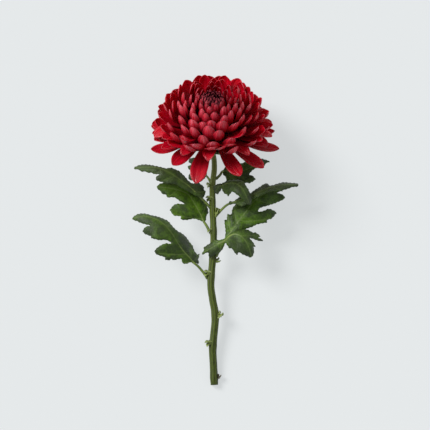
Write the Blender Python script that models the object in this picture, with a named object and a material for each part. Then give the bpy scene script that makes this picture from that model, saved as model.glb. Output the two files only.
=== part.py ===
"""A cut pompon chrysanthemum lying on a table: bloom, eye, calyx, stem and eight leaves. Metres, +Z up.

The flower is shaped upright as it grew, in its own frame: X to the right, Y up the stem, Z towards the
side that its face turns to. An empty then lays it down, so that the bloom's back florets and the stem's
cut end touch the table, and +Y still runs from the cut end to the bloom.
"""

import math
import random

import bpy
from mathutils import Matrix, Vector, geometry

# How the flower lies: its stem slopes up from the cut end to the bloom
REST_TILT = math.radians(7.6)
REST_MOVE = Vector((-0.0002, 0.0006, 0.0192))
TABLE_SIZE = 0.5
TABLE_DEPTH = 0.05
SEAT_GAP = 0.0003
MM = 0.001

# Bloom: every floret grows from the receptacle, and its tip lies on a dome with a sunken eye
RECEPTACLE = Vector((-0.002, 0.0744, 0.010))
FACE_TURN = math.radians(40.0)
BLOOM_REACH = 0.0495
EYE_SINK = 0.0075
EYE_SPREAD = math.radians(26.0)
GROWN_COUNT = 100
GROWN_POLAR = (math.radians(36.0), math.radians(88.0))
GROWN_PACKING = 1.08
GROWN_WIDTH = (0.0082, 0.0118)
CROWN_WIDER = 0.20
GROWN_ROWS = (0.0, 0.60, 0.88, 1.0)
GROWN_JITTER = math.radians(3.5)
GROWN_ROLL = math.radians(16.0)
FRONT_GATHER = 0.28
FRONT_CURL = math.radians(20.0)
DROOP_AGE = 0.85
DROOP_FACING = 0.40
CURL_GROWN = math.radians(19.0)
CURL_OLD = math.radians(3.0)
CURL_JITTER = math.radians(6.0)
YOUNG_COUNT = 32
YOUNG_POLAR = (math.radians(16.0), math.radians(34.0))
YOUNG_WIDTH = (0.0062, 0.0088)
YOUNG_ROWS = (0.0, 0.66, 1.0)
YOUNG_JITTER = math.radians(1.5)
CURL_YOUNG = math.radians(12.0)
FLORET_THICKNESS = 0.0008
OUTER_ROWS = (0.0, 0.45, 0.75, 0.92, 1.0)
GOLDEN_ANGLE = math.radians(137.50776)
ROOT_PULL = 0.80
FLORET_ROOT = (0.0190, 0.0130)
FLORET_KNEE = 0.80
FLORET_ROOT_SHARE = 0.42
FLORET_WIDEST = 0.70
FLORET_TIP_ROUND = 0.05
CORE_SIDES = 22
CORE_FOOT = ((0.0092, -0.0037), (0.0132, -0.0014), (0.0180, 0.0036))
CORE_DOME = ((77, 0.0250), (64, 0.0335), (48, 0.0370), (32, 0.0370), (17, 0.0350))
RANDOM_SEED = 11

# The outermost florets: azimuth from the front, polar angle, reach, curl, width, roll
OUTER_FLORETS = (
    (-16, 99, 0.0515, -6, 0.0124, -6),
    (24, 95, 0.0500, -4, 0.0128, 4),
    (50, 96, 0.0525, -3, 0.0110, 14),
    (76, 93, 0.0545, 8, 0.0116, 10),
    (98, 88, 0.0500, 8, 0.0116, 0),
    (121, 96, 0.0505, 4, 0.0120, 4),
    (144, 100, 0.0510, 2, 0.0122, -5),
    (167, 101, 0.0510, 0, 0.0122, 3),
    (190, 101, 0.0510, 0, 0.0122, -3),
    (213, 100, 0.0505, 2, 0.0122, 6),
    (236, 96, 0.0505, 4, 0.0120, 0),
    (259, 88, 0.0505, 6, 0.0118, 0),
    (285, 95, 0.0505, 4, 0.0116, -12),
    (319, 89, 0.0485, -2, 0.0116, -16),
    (-3, 77, 0.0450, -10, 0.0112, 8),
    (36, 78, 0.0475, -9, 0.0112, 10),
    (62, 81, 0.0495, -5, 0.0110, 12),
    (-31, 76, 0.0470, -9, 0.0114, -12),
    (-53, 78, 0.0500, -6, 0.0112, -10),
)

# Eye: young florets packed in the sunken middle
EYE_FLORETS = 38
EYE_RADIUS = 0.0098
EYE_DOME = 0.0036
EYE_FLORET_LENGTH = 0.0066
EYE_FLORET_WIDTH = 0.0028

# Calyx: the green cup of bracts under the bloom
CALYX_PROFILE = (
    (0.0028, -0.0125),
    (0.0046, -0.0112),
    (0.0076, -0.0086),
    (0.0094, -0.0060),
    (0.0096, -0.0040),
)
CALYX_SIDES = 12
BRACT_COUNT = 7
BRACT_FOOT = (0.0040, -0.0108)
BRACT_ENDS = ((0.0125, -0.0064), (0.0160, -0.0046))
BRACT_WIDTH = 0.0056
BRACT_THICKNESS = 0.0008
BRACT_ROWS = (0.0, 0.55, 1.0)

# Stem: its line from the cut end to the calyx, with a knee at each node
STEM_POINTS = (
    (-0.0006, -0.1238, 0.0),
    (-0.0013, -0.1080, 0.0),
    (-0.0018, -0.0935, 0.0),
    (0.0002, -0.0700, 0.0),
    (-0.0018, -0.0560, 0.0),
    (-0.0033, -0.0430, 0.0),
    (-0.0018, -0.0230, 0.0),
    (-0.0010, -0.0080, 0.0),
    (-0.0014, 0.0080, 0.0),
    (-0.0020, 0.0230, 0.0),
    (-0.0018, 0.0370, 0.0),
    (-0.0006, 0.0480, -0.0008),
    (-0.0008, 0.0565, -0.0022),
)
STEM_RADIUS_CUT = 0.0028
STEM_RADIUS_TOP = 0.0019
STEM_SIDES = 8
STEM_SPAN_STEPS = 2
NODE_SWELL = 0.10
NODE_SPREAD = 0.0035

# Side buds: place on the stem, heading, size
BUDS = (
    ((0.0002, -0.1180, 0.0), (1.0, 0.5, 0.2), 0.0030),
    ((-0.0018, -0.0925, 0.0), (-1.0, 0.35, 0.35), 0.0048),
    ((0.0002, -0.0680, 0.0), (1.0, 0.35, 0.35), 0.0046),
    ((-0.0033, -0.0365, 0.0), (-0.55, 1.0, 0.75), 0.0056),
    ((-0.0012, -0.0225, 0.0), (1.0, -0.30, -0.2), 0.0040),
    ((-0.0010, -0.0010, 0.0), (-1.0, -0.2, 0.6), 0.0034),
    ((-0.0012, 0.0140, 0.0), (0.6, 0.9, 0.9), 0.0056),
    ((-0.0020, 0.0235, 0.0), (-0.6, 0.9, 1.0), 0.0056),
    ((-0.0018, 0.0365, 0.0), (-0.8, 0.2, 0.9), 0.0046),
)

# Leaves
LEAF_THICKNESS = 0.0008
LEAF_GRID = 7.5
LEAF_MARGIN = 2.5
RIB_SAMPLES = 24
RIB_SHARE = 0.5
RIB_SINK = 0.35
PETIOLE_RADIUS = 0.00105
PETIOLE_SIDES = 5
PETIOLE_STEPS = 7

# Each leaf, in millimetres as the flower's front shows it: the petiole's line from the stem, and one
# or more blades. A blade has its midrib's line, its toothed edge, and how steeply its halves fall away
# from the rib, left and right of it, at the base and at the tip.
LEAVES = {
    "leaf_lower_left": {
        "petiole": ((-6, -39, -0.5), (-8.5, -35, 0.5), (-13.5, -29, 3)),
        "blades": (
            {
                "midrib": (
                    (-18, -25, 5), (-20, -22.5, 5.8), (-25, -17, 7.2), (-29, -11.5, 8.4), (-32.5, -5.5, 9.3),
                    (-36, -0.5, 9.8), (-41, 5, 9.6), (-48, 9, 8.6), (-57, 11, 6.5), (-66, 9, 2.5),
                ),
                "edge": (
                    (-13, -27), (-13.5, -24), (-12.5, -19.5), (-14.5, -19.5), (-17, -16), (-18, -13),
                    (-21, -9), (-23.5, -5.5), (-27, -2.5), (-30.5, -0.5), (-34.5, 3.5), (-37.5, 7),
                    (-41.5, 9), (-45.5, 10.5), (-52, 12), (-56, 13), (-60, 13), (-63, 12), (-66, 9),
                    (-62, 7), (-60, 6), (-57, 5), (-51.5, 3.5), (-54.5, 3), (-57, 0.5), (-57.5, -1),
                    (-56, -3), (-51, -5), (-50.5, -6.5), (-44, -8), (-39, -8), (-35, -10.5),
                    (-39, -10.5), (-43, -12), (-46.5, -14.5), (-48, -17), (-46, -19.5), (-40, -21.5),
                    (-39.5, -23.5), (-36.5, -24), (-34.5, -23), (-33, -24), (-27, -23), (-26, -26),
                    (-23, -27), (-18, -25.5),
                ),
                "fall": ((0.35, 0.15), (-1.6, -2.2)),
            },
        ),
    },
    "leaf_middle_left": {
        "petiole": ((-4.5, -1, -0.5), (-6.5, 3, -0.8), (-8.5, 6, -1)),
        "blades": (
            {
                "midrib": (
                    (-10, 9, -1), (-12, 13, -1.2), (-15, 18.5, -1.5), (-18.5, 24.5, -1.8), (-21.5, 28.5, -2),
                    (-28, 31.5, -1.6), (-36, 33.5, -0.6), (-46.5, 34.5, 1),
                ),
                "edge": (
                    (-8.5, 6.5), (-7, 9), (-7, 11), (-5.5, 13.5), (-5.5, 15.5), (-6.5, 19), (-9.5, 24),
                    (-15, 31), (-23, 35.5), (-32, 38), (-39, 38), (-44, 37), (-46.5, 34.5),
                    (-45.5, 32.5), (-43, 30.5), (-42.5, 29), (-39, 28), (-38, 26), (-32.5, 26),
                    (-28, 23), (-25, 21), (-29.5, 21), (-33, 20), (-35, 17.5), (-36, 16),
                    (-34.5, 13.5), (-32.5, 11.5), (-27.5, 11), (-27, 8.5), (-23, 8), (-20, 8.5),
                    (-16.5, 9), (-13, 8),
                ),
                "fall": ((0.25, 0.1), (-0.5, -0.8)),
            },
        ),
    },
    "leaf_upper_left": {
        "petiole": ((-3.5, 17.5, 1), (-8, 22.5, 3.5), (-12.5, 27, 6.5)),
        "blades": (
            {
                "midrib": (
                    (-16, 30.5, 9), (-21, 35, 11), (-26.5, 39, 12.8), (-32, 43, 14), (-39, 47, 14.8),
                    (-46.5, 49.5, 14.6), (-55, 50, 13), (-64.5, 49, 10),
                ),
                "edge": (
                    (-12, 26.5), (-9, 26), (-8.5, 27.5), (-7.5, 30.5), (-9, 32.5), (-9, 34.5),
                    (-12, 37), (-15, 38.5), (-17.5, 37), (-21, 39), (-23.5, 42), (-25.5, 44),
                    (-28.5, 47), (-31, 48), (-35, 49.5), (-39, 49), (-43, 50), (-48, 51), (-53.5, 52),
                    (-58.5, 52), (-62, 51), (-64.5, 49), (-60.5, 48), (-58.5, 46.5), (-55, 46.5),
                    (-53.5, 45.5), (-50.5, 45.5), (-48, 44.5), (-44, 44), (-46, 43), (-47, 40.5),
                    (-45, 39), (-41.5, 38), (-37.5, 37), (-32, 37), (-27, 34), (-21.5, 31),
                    (-16.5, 28),
                ),
                "fall": ((0.5, 0.3), (-0.8, -2)),
            },
        ),
    },
    "leaf_back_left": {
        "petiole": ((-2.5, 36, -0.5), (-5, 41, -4), (-7, 43.5, -6.5)),
        "blades": (
            {
                "midrib": (
                    (-8, 45, -8), (-12, 48, -11), (-17, 50, -13.5), (-22, 50.5, -15),
                ),
                "edge": (
                    (-7, 43), (-7, 47), (-10.5, 53.5), (-15, 58), (-18.5, 58), (-21, 57), (-21, 54.5),
                    (-19, 53), (-22, 50.5), (-19.5, 47.5), (-20.5, 45), (-21.5, 42.5), (-20, 40),
                    (-17, 40), (-13, 38), (-10.5, 39.5),
                ),
                "fall": ((0.2, 0.2), (-0.6, -0.6)),
            },
        ),
    },
    "leaf_lower_right": {
        "petiole": ((1, -21, 1), (4, -15, 5), (7, -10.5, 9)),
        "blades": (
            {
                "midrib": (
                    (8.5, -8, 10.5), (13, -1, 9), (18, 6, 8), (23, 12.5, 7), (27, 17.5, 6),
                    (31, 23, 5), (37, 27.5, 3.5), (44, 31, 1), (53.5, 32, -3),
                ),
                "edge": (
                    (7.5, -9), (8.5, -2), (7.5, 7.5), (9.5, 8.5), (10, 12.5), (13, 12.5), (14, 17),
                    (17, 21), (22.5, 25), (28, 29), (33.5, 31.5), (41, 33.5), (48, 33.5), (53.5, 32),
                    (54, 31), (50, 30), (53, 29), (56, 26), (53, 23.5), (47, 21), (42.5, 19.5),
                    (34.5, 15.5), (42.5, 17), (45, 16.5), (49, 14), (47.5, 11.5), (45, 9), (41.5, 8),
                    (41.5, 6), (33.5, 4.5), (29.5, 2.5), (25, 1), (18.5, -3), (11, -8.5),
                ),
                "fall": ((-0.5, -0.9), (0.15, -0.1)),
            },
            {
                "midrib": (
                    (8.5, -8, 10.5), (13, -4, 13), (17.5, -3.5, 15.5), (22, -6, 17.5), (25.5, -11, 18),
                    (27.5, -16, 16.5), (29, -21.5, 13.5),
                ),
                "edge": (
                    (7, -9), (9, -6), (13.5, -2), (18.5, 0), (25, 0.5), (30, -2), (32.5, -2), (36, -5),
                    (34.5, -6), (38, -8.5), (33, -8), (28, -6.5), (30, -9.5), (32, -13), (30.5, -13.5),
                    (31, -17), (29, -21.5), (25, -20.5), (21.5, -19), (19, -17.5), (17.5, -19.5),
                    (15, -17), (13.5, -14.5), (11.5, -14.5), (9, -11),
                ),
                "fall": ((-0.9, -0.9), (0.1, -0.2)),
            },
            {
                "midrib": (
                    (8.5, -8, 10.5), (5, -10, 10.5), (0, -12.5, 9.3), (-5, -15.5, 7.5), (-10.5, -19, 4.8),
                ),
                "edge": (
                    (9, -7.5), (8, -10.5), (7, -13), (6.5, -14.5), (4, -17.5), (1.5, -19),
                    (-1.5, -20.5), (-4.5, -22), (-5.5, -18), (-8.5, -19), (-10.5, -19.5),
                    (-8.5, -15.5), (-9.5, -14.5), (-7, -12.5), (-3, -10), (0, -8), (4, -8), (7, -7),
                ),
                "fall": ((-0.1, -0.2), (-0.7, -0.5)),
            },
        ),
    },
    "leaf_middle_right": {
        "petiole": ((-0.5, 10, 0.8), (5.5, 16.5, 4), (9.5, 20, 6.5)),
        "blades": (
            {
                "midrib": (
                    (13, 22, 8.5), (20, 24, 11), (28, 27, 12.5), (37.5, 31.5, 13.5), (48, 35, 13),
                    (57.5, 36, 11.5), (66.5, 36, 9),
                ),
                "edge": (
                    (11, 20.5), (12, 23), (14.5, 22.5), (18.5, 25.5), (22.5, 27), (27, 28.5), (32, 32),
                    (36, 34.5), (39, 36.5), (42, 37), (43, 35.5), (45.5, 35.5), (50.5, 37), (54.5, 38),
                    (60, 37.5), (66.5, 36), (61, 34), (55, 32), (49.5, 31.5), (45, 31.5), (41, 30),
                    (36, 27.5), (30.5, 25), (25.5, 21), (20.5, 19), (17, 21), (13, 20.5),
                ),
                "fall": ((-1.8, -2.2), (0.6, 0.5)),
            },
        ),
    },
    "leaf_top_front": {
        "petiole": ((-0.5, 31.5, 1.5), (1, 33, 6), (3, 34, 10)),
        "blades": (
            {
                "midrib": (
                    (5.5, 35, 13), (8, 36.5, 15), (13, 37.5, 17.8), (17, 36.5, 20), (20.5, 34, 21.8),
                    (23, 30.5, 22.5), (25, 26, 22), (27.5, 20.5, 20),
                ),
                "edge": (
                    (3, 33.5), (5.5, 37), (8.5, 38.5), (11.5, 39.5), (16, 40), (20, 39.5), (23, 38),
                    (24.5, 35), (26.5, 32), (28, 28), (29, 24), (28, 20.5), (25.5, 20.5), (23, 23.5),
                    (20, 26), (18, 27.5), (14, 30.5), (12.5, 29.5), (10.5, 27), (9, 28.5), (7, 29.5),
                    (5.5, 32.5), (4.5, 33),
                ),
                "fall": ((-1.1, -0.9), (0.3, 0)),
            },
            {
                "midrib": (
                    (5.5, 35, 13), (3, 34, 11.5), (0.5, 31, 8),
                ),
                "edge": (
                    (6, 36), (5.5, 33.5), (4.5, 31.5), (3, 29.5), (2, 28.5), (0, 29.5), (-1, 31.5),
                    (-1.5, 34.5), (1, 36), (3.5, 37),
                ),
                "fall": ((0, 0), (-0.4, -0.3)),
            },
        ),
    },
    "leaf_back_right": {
        "petiole": ((1, 41, -0.5), (4, 44, -3.5), (5.5, 46.5, -6)),
        "blades": (
            {
                "midrib": (
                    (7, 47.5, -8), (14.5, 46.5, -10), (22.5, 47.5, -11.5), (32, 51.5, -12.5), (44, 55, -15),
                ),
                "edge": (
                    (6, 45.5), (7, 49), (12, 53.5), (17.5, 55), (21, 53.5), (23.5, 54.5), (28, 56),
                    (33, 56.5), (37, 57.5), (41, 56.5), (44, 55), (41.5, 54), (39.5, 51.5), (36, 51),
                    (31, 48.5), (27.5, 44.5), (29.5, 44), (32.5, 41), (30.5, 39), (27.5, 37.5),
                    (25, 38), (21.5, 36), (16, 37), (11, 34.5), (8.5, 37), (9, 41.5),
                ),
                "fall": ((-0.5, -0.5), (0.15, 0.1)),
            },
        ),
    },
}

# Finishes: colour, roughness
FINISHES = {
    "petal_red": ((0.42, 0.004, 0.018, 1.0), 0.55),
    "eye_maroon": ((0.07, 0.001, 0.008, 1.0), 0.6),
    "leaf_green": ((0.045, 0.105, 0.028, 1.0), 0.5),
    "stem_green": ((0.13, 0.20, 0.045, 1.0), 0.5),
}


def clear_scene():
    for item in list(bpy.data.objects):
        bpy.data.objects.remove(item)


def finish_of(name):
    """The material of that name, made once."""
    found = bpy.data.materials.get(name)
    if found:
        return found
    colour, roughness = FINISHES[name]
    made = bpy.data.materials.new(name)
    made.use_nodes = True
    shader = made.node_tree.nodes["Principled BSDF"]
    shader.inputs["Base Color"].default_value = colour
    shader.inputs["Roughness"].default_value = roughness
    shader.inputs["Metallic"].default_value = 0.0
    return made


# Curves and meshes

def knotted_line(points, per_span):
    """Points on a Catmull-Rom curve through the given ones, per_span of them to each span."""
    knots = [Vector(p) for p in points]
    knots = [2 * knots[0] - knots[1], *knots, 2 * knots[-1] - knots[-2]]
    line = []
    for i in range(1, len(knots) - 2):
        a, b, c, d = knots[i - 1 : i + 3]
        for k in range(per_span):
            t = k / per_span
            pull = (2 * a - 5 * b + 4 * c - d) * t * t + (3 * b - a - 3 * c + d) * t**3
            line.append(0.5 * (2 * b + (c - a) * t + pull))
    line.append(knots[-2])
    return line


def smooth_line(points, steps):
    """steps + 1 points on the same curve, evenly spread along it."""
    fine = knotted_line(points, 16)
    gone = [0.0]
    for p, q in zip(fine, fine[1:]):
        gone.append(gone[-1] + (q - p).length)
    line = []
    k = 0
    for step in range(steps + 1):
        want = gone[-1] * step / steps
        while k < len(fine) - 2 and gone[k + 1] < want:
            k += 1
        share = (want - gone[k]) / (gone[k + 1] - gone[k])
        line.append(fine[k].lerp(fine[k + 1], share))
    return line


def tangents(line):
    ends = [line[0], *line, line[-1]]
    return [(ends[i + 2] - ends[i]).normalized() for i in range(len(line))]


def mesh_object(name, points, faces):
    mesh = bpy.data.meshes.new(name)
    mesh.from_pydata([tuple(p) for p in points], [], faces)
    made = bpy.data.objects.new(name, mesh)
    bpy.context.scene.collection.objects.link(made)
    return made


def tube(name, line, radii, sides):
    """A closed tube along a line, with flat ends."""
    points = []
    faces = []
    across = Vector((0.0, 0.0, 1.0))
    for place, heading, radius in zip(line, tangents(line), radii):
        side = heading.cross(across).normalized()
        over = side.cross(heading)
        for k in range(sides):
            turn = math.tau * k / sides
            points.append(place + radius * (side * math.cos(turn) + over * math.sin(turn)))
    for ring in range(len(line) - 1):
        for k in range(sides):
            a = ring * sides + k
            b = ring * sides + (k + 1) % sides
            faces.append((a, b, b + sides, a + sides))
    faces.append(tuple(reversed(range(sides))))
    faces.append(tuple(range(len(points) - sides, len(points))))
    return mesh_object(name, points, faces)


def spun(name, profile, sides, place, axis, side):
    """A solid turned round an axis from (radius, height) pairs, bottom to top, closed with flat ends."""
    over = axis.cross(side)
    points = []
    faces = []
    for radius, height in profile:
        for k in range(sides):
            turn = math.tau * k / sides
            points.append(
                place + axis * height + radius * (side * math.cos(turn) + over * math.sin(turn))
            )
    for band in range(len(profile) - 1):
        for k in range(sides):
            a = band * sides + k
            b = band * sides + (k + 1) % sides
            faces.append((a, b, b + sides, a + sides))
    faces.append(tuple(reversed(range(sides))))
    faces.append(tuple(range(len(points) - sides, len(points))))
    return mesh_object(name, points, faces)


def sheet(name, upper, lower, columns):
    """A closed blade from an upper and a lower grid of points, row by row, with alike triangles."""
    count = len(upper)
    rows = count // columns
    faces = []
    for row in range(rows - 1):
        for column in range(columns - 1):
            a = row * columns + column
            b, c, d = a + 1, a + columns + 1, a + columns
            if column < columns // 2:
                cut = ((a, b, c), (a, c, d))
            else:
                cut = ((a, b, d), (b, c, d))
            for x, y, z in cut:
                faces.append((x, y, z))
                faces.append((x + count, z + count, y + count))
    rim = [row * columns for row in range(rows)]
    rim += [(rows - 1) * columns + column for column in range(1, columns)]
    rim += [row * columns + columns - 1 for row in reversed(range(rows - 1))]
    rim += [column for column in reversed(range(1, columns - 1))]
    for i, a in enumerate(rim):
        b = rim[(i + 1) % len(rim)]
        faces.append((a, b, b + count))
        faces.append((a, b + count, a + count))
    return mesh_object(name, [*upper, *lower], faces)


def boolean(target, operation, solver="EXACT", other=None, others=None):
    """Applies one Boolean to target, with an object or a collection."""
    modifier = target.modifiers.new("boolean", "BOOLEAN")
    modifier.operation = operation
    modifier.solver = solver
    if others is None:
        modifier.object = other
    else:
        modifier.operand_type = "COLLECTION"
        modifier.collection = others
    graph = bpy.context.evaluated_depsgraph_get()
    target.data = bpy.data.meshes.new_from_object(target.evaluated_get(graph))
    target.modifiers.clear()


def drop_scraps(target):
    """Keeps the largest connected surface, so sealed hollows are filled and loose scraps go."""
    mesh = target.data
    group = list(range(len(mesh.vertices)))

    def root(i):
        while group[i] != i:
            group[i] = group[group[i]]
            i = group[i]
        return i

    for edge in mesh.edges:
        a, b = (root(i) for i in edge.vertices)
        group[a] = b
    sizes = {}
    for i in range(len(group)):
        sizes[root(i)] = sizes.get(root(i), 0) + 1
    largest = max(sizes, key=sizes.get)
    keep = [i for i in range(len(group)) if root(i) == largest]
    if len(keep) == len(group):
        return
    renamed = {old: new for new, old in enumerate(keep)}
    points = [mesh.vertices[i].co.copy() for i in keep]
    faces = [
        [renamed[i] for i in polygon.vertices]
        for polygon in mesh.polygons
        if polygon.vertices[0] in renamed
    ]
    kept = bpy.data.meshes.new(mesh.name)
    kept.from_pydata(points, [], faces)
    target.data = kept


def fuse(name, body, pieces, solver="EXACT"):
    """One solid from a body and the repeats that grow from it, by one union on a collection."""
    group = bpy.data.collections.new(name + "_repeats")
    bpy.context.scene.collection.children.link(group)
    for piece in pieces:
        group.objects.link(piece)
    boolean(body, "UNION", solver, others=group)
    for piece in pieces:
        bpy.data.objects.remove(piece)
    bpy.data.collections.remove(group)
    body.name = name
    body.data.name = name
    return body


def finished(target, finish):
    """The piece without scraps, in its one material."""
    drop_scraps(target)
    target.data.materials.clear()
    target.data.materials.append(finish_of(finish))
    return target


# Bloom

def bloom_axes():
    """The bloom's axis, the way to its front and the way to its right."""
    axis = Vector((0.0, math.cos(FACE_TURN), math.sin(FACE_TURN)))
    front = Vector((0.0, -math.sin(FACE_TURN), math.cos(FACE_TURN)))
    return axis, front, Vector((1.0, 0.0, 0.0))


def dome_reach(polar):
    """How far a floret's tip lies from the receptacle at a polar angle from the axis."""
    return BLOOM_REACH - EYE_SINK * math.exp(-((polar / EYE_SPREAD) ** 2))


def blend(low, high, share):
    """Eases from low to high as share runs from 0 to 1."""
    share = min(1.0, max(0.0, share))
    return low + (high - low) * share * share * (3.0 - 2.0 * share)


def grown_floret(n, draw):
    """The n-th grown floret, from the outside in: older ones lie lower, wider and less curled."""
    age = 1.0 - (n / GROWN_COUNT) ** GROWN_PACKING
    polar = GROWN_POLAR[0] + (GROWN_POLAR[1] - GROWN_POLAR[0]) * age
    azimuth = n * GOLDEN_ANGLE + draw.uniform(-1.0, 1.0) * GROWN_JITTER
    facing = max(0.0, math.cos(azimuth))
    polar *= 1.0 - FRONT_GATHER * facing**1.5 * age * age
    curl = blend(CURL_GROWN, CURL_OLD, age) + FRONT_CURL * facing**4 * age
    behind = max(0.0, -math.cos(azimuth))
    return {
        "azimuth": azimuth,
        "polar": polar + draw.uniform(-0.5, 0.5) * GROWN_JITTER,
        "reach": dome_reach(polar) + draw.uniform(-0.0016, 0.0012),
        "curl": curl + draw.uniform(-1.0, 1.0) * CURL_JITTER,
        "width": blend(*GROWN_WIDTH, age) * (1.0 + CROWN_WIDER * behind),
        "cup": 0.60 - 0.30 * age,
        "roll": draw.uniform(-1.0, 1.0) * GROWN_ROLL,
        "taper": 0.74,
        "rows": GROWN_ROWS,
        "root": blend(*FLORET_ROOT, age),
        "droops": age > DROOP_AGE and math.cos(azimuth) > DROOP_FACING,
    }


def young_floret(n, draw):
    """The n-th young floret, from the outside in: they stand up round the eye."""
    age = 1.0 - n / YOUNG_COUNT
    polar = YOUNG_POLAR[0] + (YOUNG_POLAR[1] - YOUNG_POLAR[0]) * age
    azimuth = n * GOLDEN_ANGLE + draw.uniform(-1.0, 1.0) * YOUNG_JITTER
    return {
        "azimuth": azimuth,
        "polar": polar + draw.uniform(-0.5, 0.5) * YOUNG_JITTER,
        "reach": dome_reach(polar) + draw.uniform(-0.0010, 0.0008),
        "curl": blend(CURL_YOUNG, CURL_GROWN, age),
        "width": YOUNG_WIDTH[0] + (YOUNG_WIDTH[1] - YOUNG_WIDTH[0]) * age,
        "cup": 0.70,
        "roll": math.radians(draw.uniform(-6.0, 6.0)),
        "taper": 0.74,
        "rows": YOUNG_ROWS,
        "root": FLORET_ROOT[0],
    }


def floret_specs():
    """Every floret's place and form, from the outside in; in front, the listed ones droop instead."""
    draw = random.Random(RANDOM_SEED)
    specs = [grown_floret(n, draw) for n in range(GROWN_COUNT)]
    specs = [spec for spec in specs if not spec["droops"]]
    specs += [young_floret(n, draw) for n in range(YOUNG_COUNT)]
    for azimuth, polar, reach, curl, width, roll in OUTER_FLORETS:
        specs.append(
            {
                "azimuth": math.radians(azimuth),
                "polar": math.radians(polar),
                "reach": reach,
                "curl": math.radians(curl),
                "width": width,
                "cup": 0.12,
                "roll": math.radians(roll),
                "taper": 0.92,
                "rows": OUTER_ROWS,
                "root": FLORET_ROOT[1],
            }
        )
    return specs


def floret_width(s, taper):
    """Share of the full width at s from the root, 0, to the tip, 1."""
    if s <= FLORET_WIDEST:
        swelling = math.sin(0.5 * math.pi * s / FLORET_WIDEST)
        return FLORET_ROOT_SHARE + (1.0 - FLORET_ROOT_SHARE) * swelling
    return math.sqrt(1.0 - taper * ((s - FLORET_WIDEST) / (1.0 - FLORET_WIDEST)) ** 2)


def floret_surface(spec, s, t):
    """The point and inner normal on a floret's middle surface, t running from -1 to 1 across it."""
    axis, front, right = bloom_axes()
    out = front * math.cos(spec["azimuth"]) + right * math.sin(spec["azimuth"])

    def ray(polar):
        return out * math.sin(polar) + axis * math.cos(polar)

    polar = spec["polar"]
    root = ray(polar * ROOT_PULL) * spec["root"]
    control = ray(polar + spec["curl"]) * spec["reach"] * FLORET_KNEE
    end = ray(polar) * spec["reach"]
    s_here = s - FLORET_TIP_ROUND * t * t * s**3
    place = root * (1 - s_here) ** 2 + control * 2 * s_here * (1 - s_here) + end * s_here**2
    heading = ((control - root) * (1 - s_here) + (end - control) * s_here).normalized()
    turn = Matrix.Rotation(spec["roll"] * s, 3, heading)
    side = turn @ out.cross(axis)
    inner = side.cross(heading)
    half = 0.5 * spec["width"] * floret_width(s, spec["taper"])
    point = place + side * half * t + inner * spec["cup"] * half * t * t
    return RECEPTACLE + point, (inner - side * 2 * spec["cup"] * t).normalized()


def floret_blade(name, spec, columns=3):
    upper = []
    lower = []
    for s in spec["rows"]:
        for k in range(columns):
            t = 2.0 * k / (columns - 1) - 1.0
            point, inner = floret_surface(spec, s, t)
            upper.append(point + inner * FLORET_THICKNESS / 2)
            lower.append(point - inner * FLORET_THICKNESS / 2)
    return sheet(name, upper, lower, columns)


def core_profile():
    """The hidden heart that the florets stand out of: a dome whose flat top seats the eye."""
    dome = [(math.radians(polar), reach) for polar, reach in CORE_DOME]
    return [*CORE_FOOT, *((reach * math.sin(polar), reach * math.cos(polar)) for polar, reach in dome)]


def make_bloom():
    """The core and all red florets; MANIFOLD joins so many crossing blades with fewer triangles."""
    axis, front, _ = bloom_axes()
    core = spun("core", core_profile(), CORE_SIDES, RECEPTACLE, axis, front)
    blades = []
    for n, spec in enumerate(floret_specs()):
        blades.append(floret_blade(f"floret_{n}", spec))
    return finished(fuse("bloom", core, blades, "MANIFOLD"), "petal_red")


def make_eye():
    """A low dome whose young florets stand up and lean in."""
    axis, front, right = bloom_axes()
    seat = core_profile()[-1][1] + SEAT_GAP
    profile = [
        (EYE_RADIUS * 0.90, seat),
        (EYE_RADIUS * 0.90, seat + EYE_DOME * 0.35),
        (EYE_RADIUS * 0.55, seat + EYE_DOME * 0.85),
        (EYE_RADIUS * 0.15, seat + EYE_DOME),
    ]
    dome = spun("dome", profile, 12, RECEPTACLE, axis, front)
    spikes = []
    for n in range(EYE_FLORETS):
        share = math.sqrt((n + 0.5) / EYE_FLORETS)
        turn = n * GOLDEN_ANGLE
        out = front * math.cos(turn) + right * math.sin(turn)
        radius = EYE_RADIUS * 0.84 * share
        foot = RECEPTACLE + out * radius + axis * (seat + EYE_DOME * 0.2)
        rise = EYE_FLORET_LENGTH + EYE_DOME * (1.0 - share * share) * 0.6
        middle = foot + axis * rise * 0.6 + out * 0.0008 * share
        tip = foot + axis * rise - out * radius * 0.12
        width = EYE_FLORET_WIDTH * (0.62 + 0.38 * share)
        spikes.append(tube(f"young_{n}", [foot, middle, tip], (width * 0.45, width * 0.5, width * 0.2), 3))
    return finished(fuse("eye", dome, spikes), "eye_maroon")


# Green parts

def make_calyx():
    axis, front, right = bloom_axes()
    cup = spun("cup", CALYX_PROFILE, CALYX_SIDES, RECEPTACLE, axis, front)
    bracts = []
    for ring, (end_radius, end_height) in enumerate(BRACT_ENDS):
        for k in range(BRACT_COUNT):
            turn = math.tau * (k + 0.5 * ring) / BRACT_COUNT
            out = front * math.cos(turn) + right * math.sin(turn)
            bracts.append(bract(f"bract_{ring}_{k}", out, axis, end_radius, end_height))
    return finished(fuse("calyx", cup, bracts), "stem_green")


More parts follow.
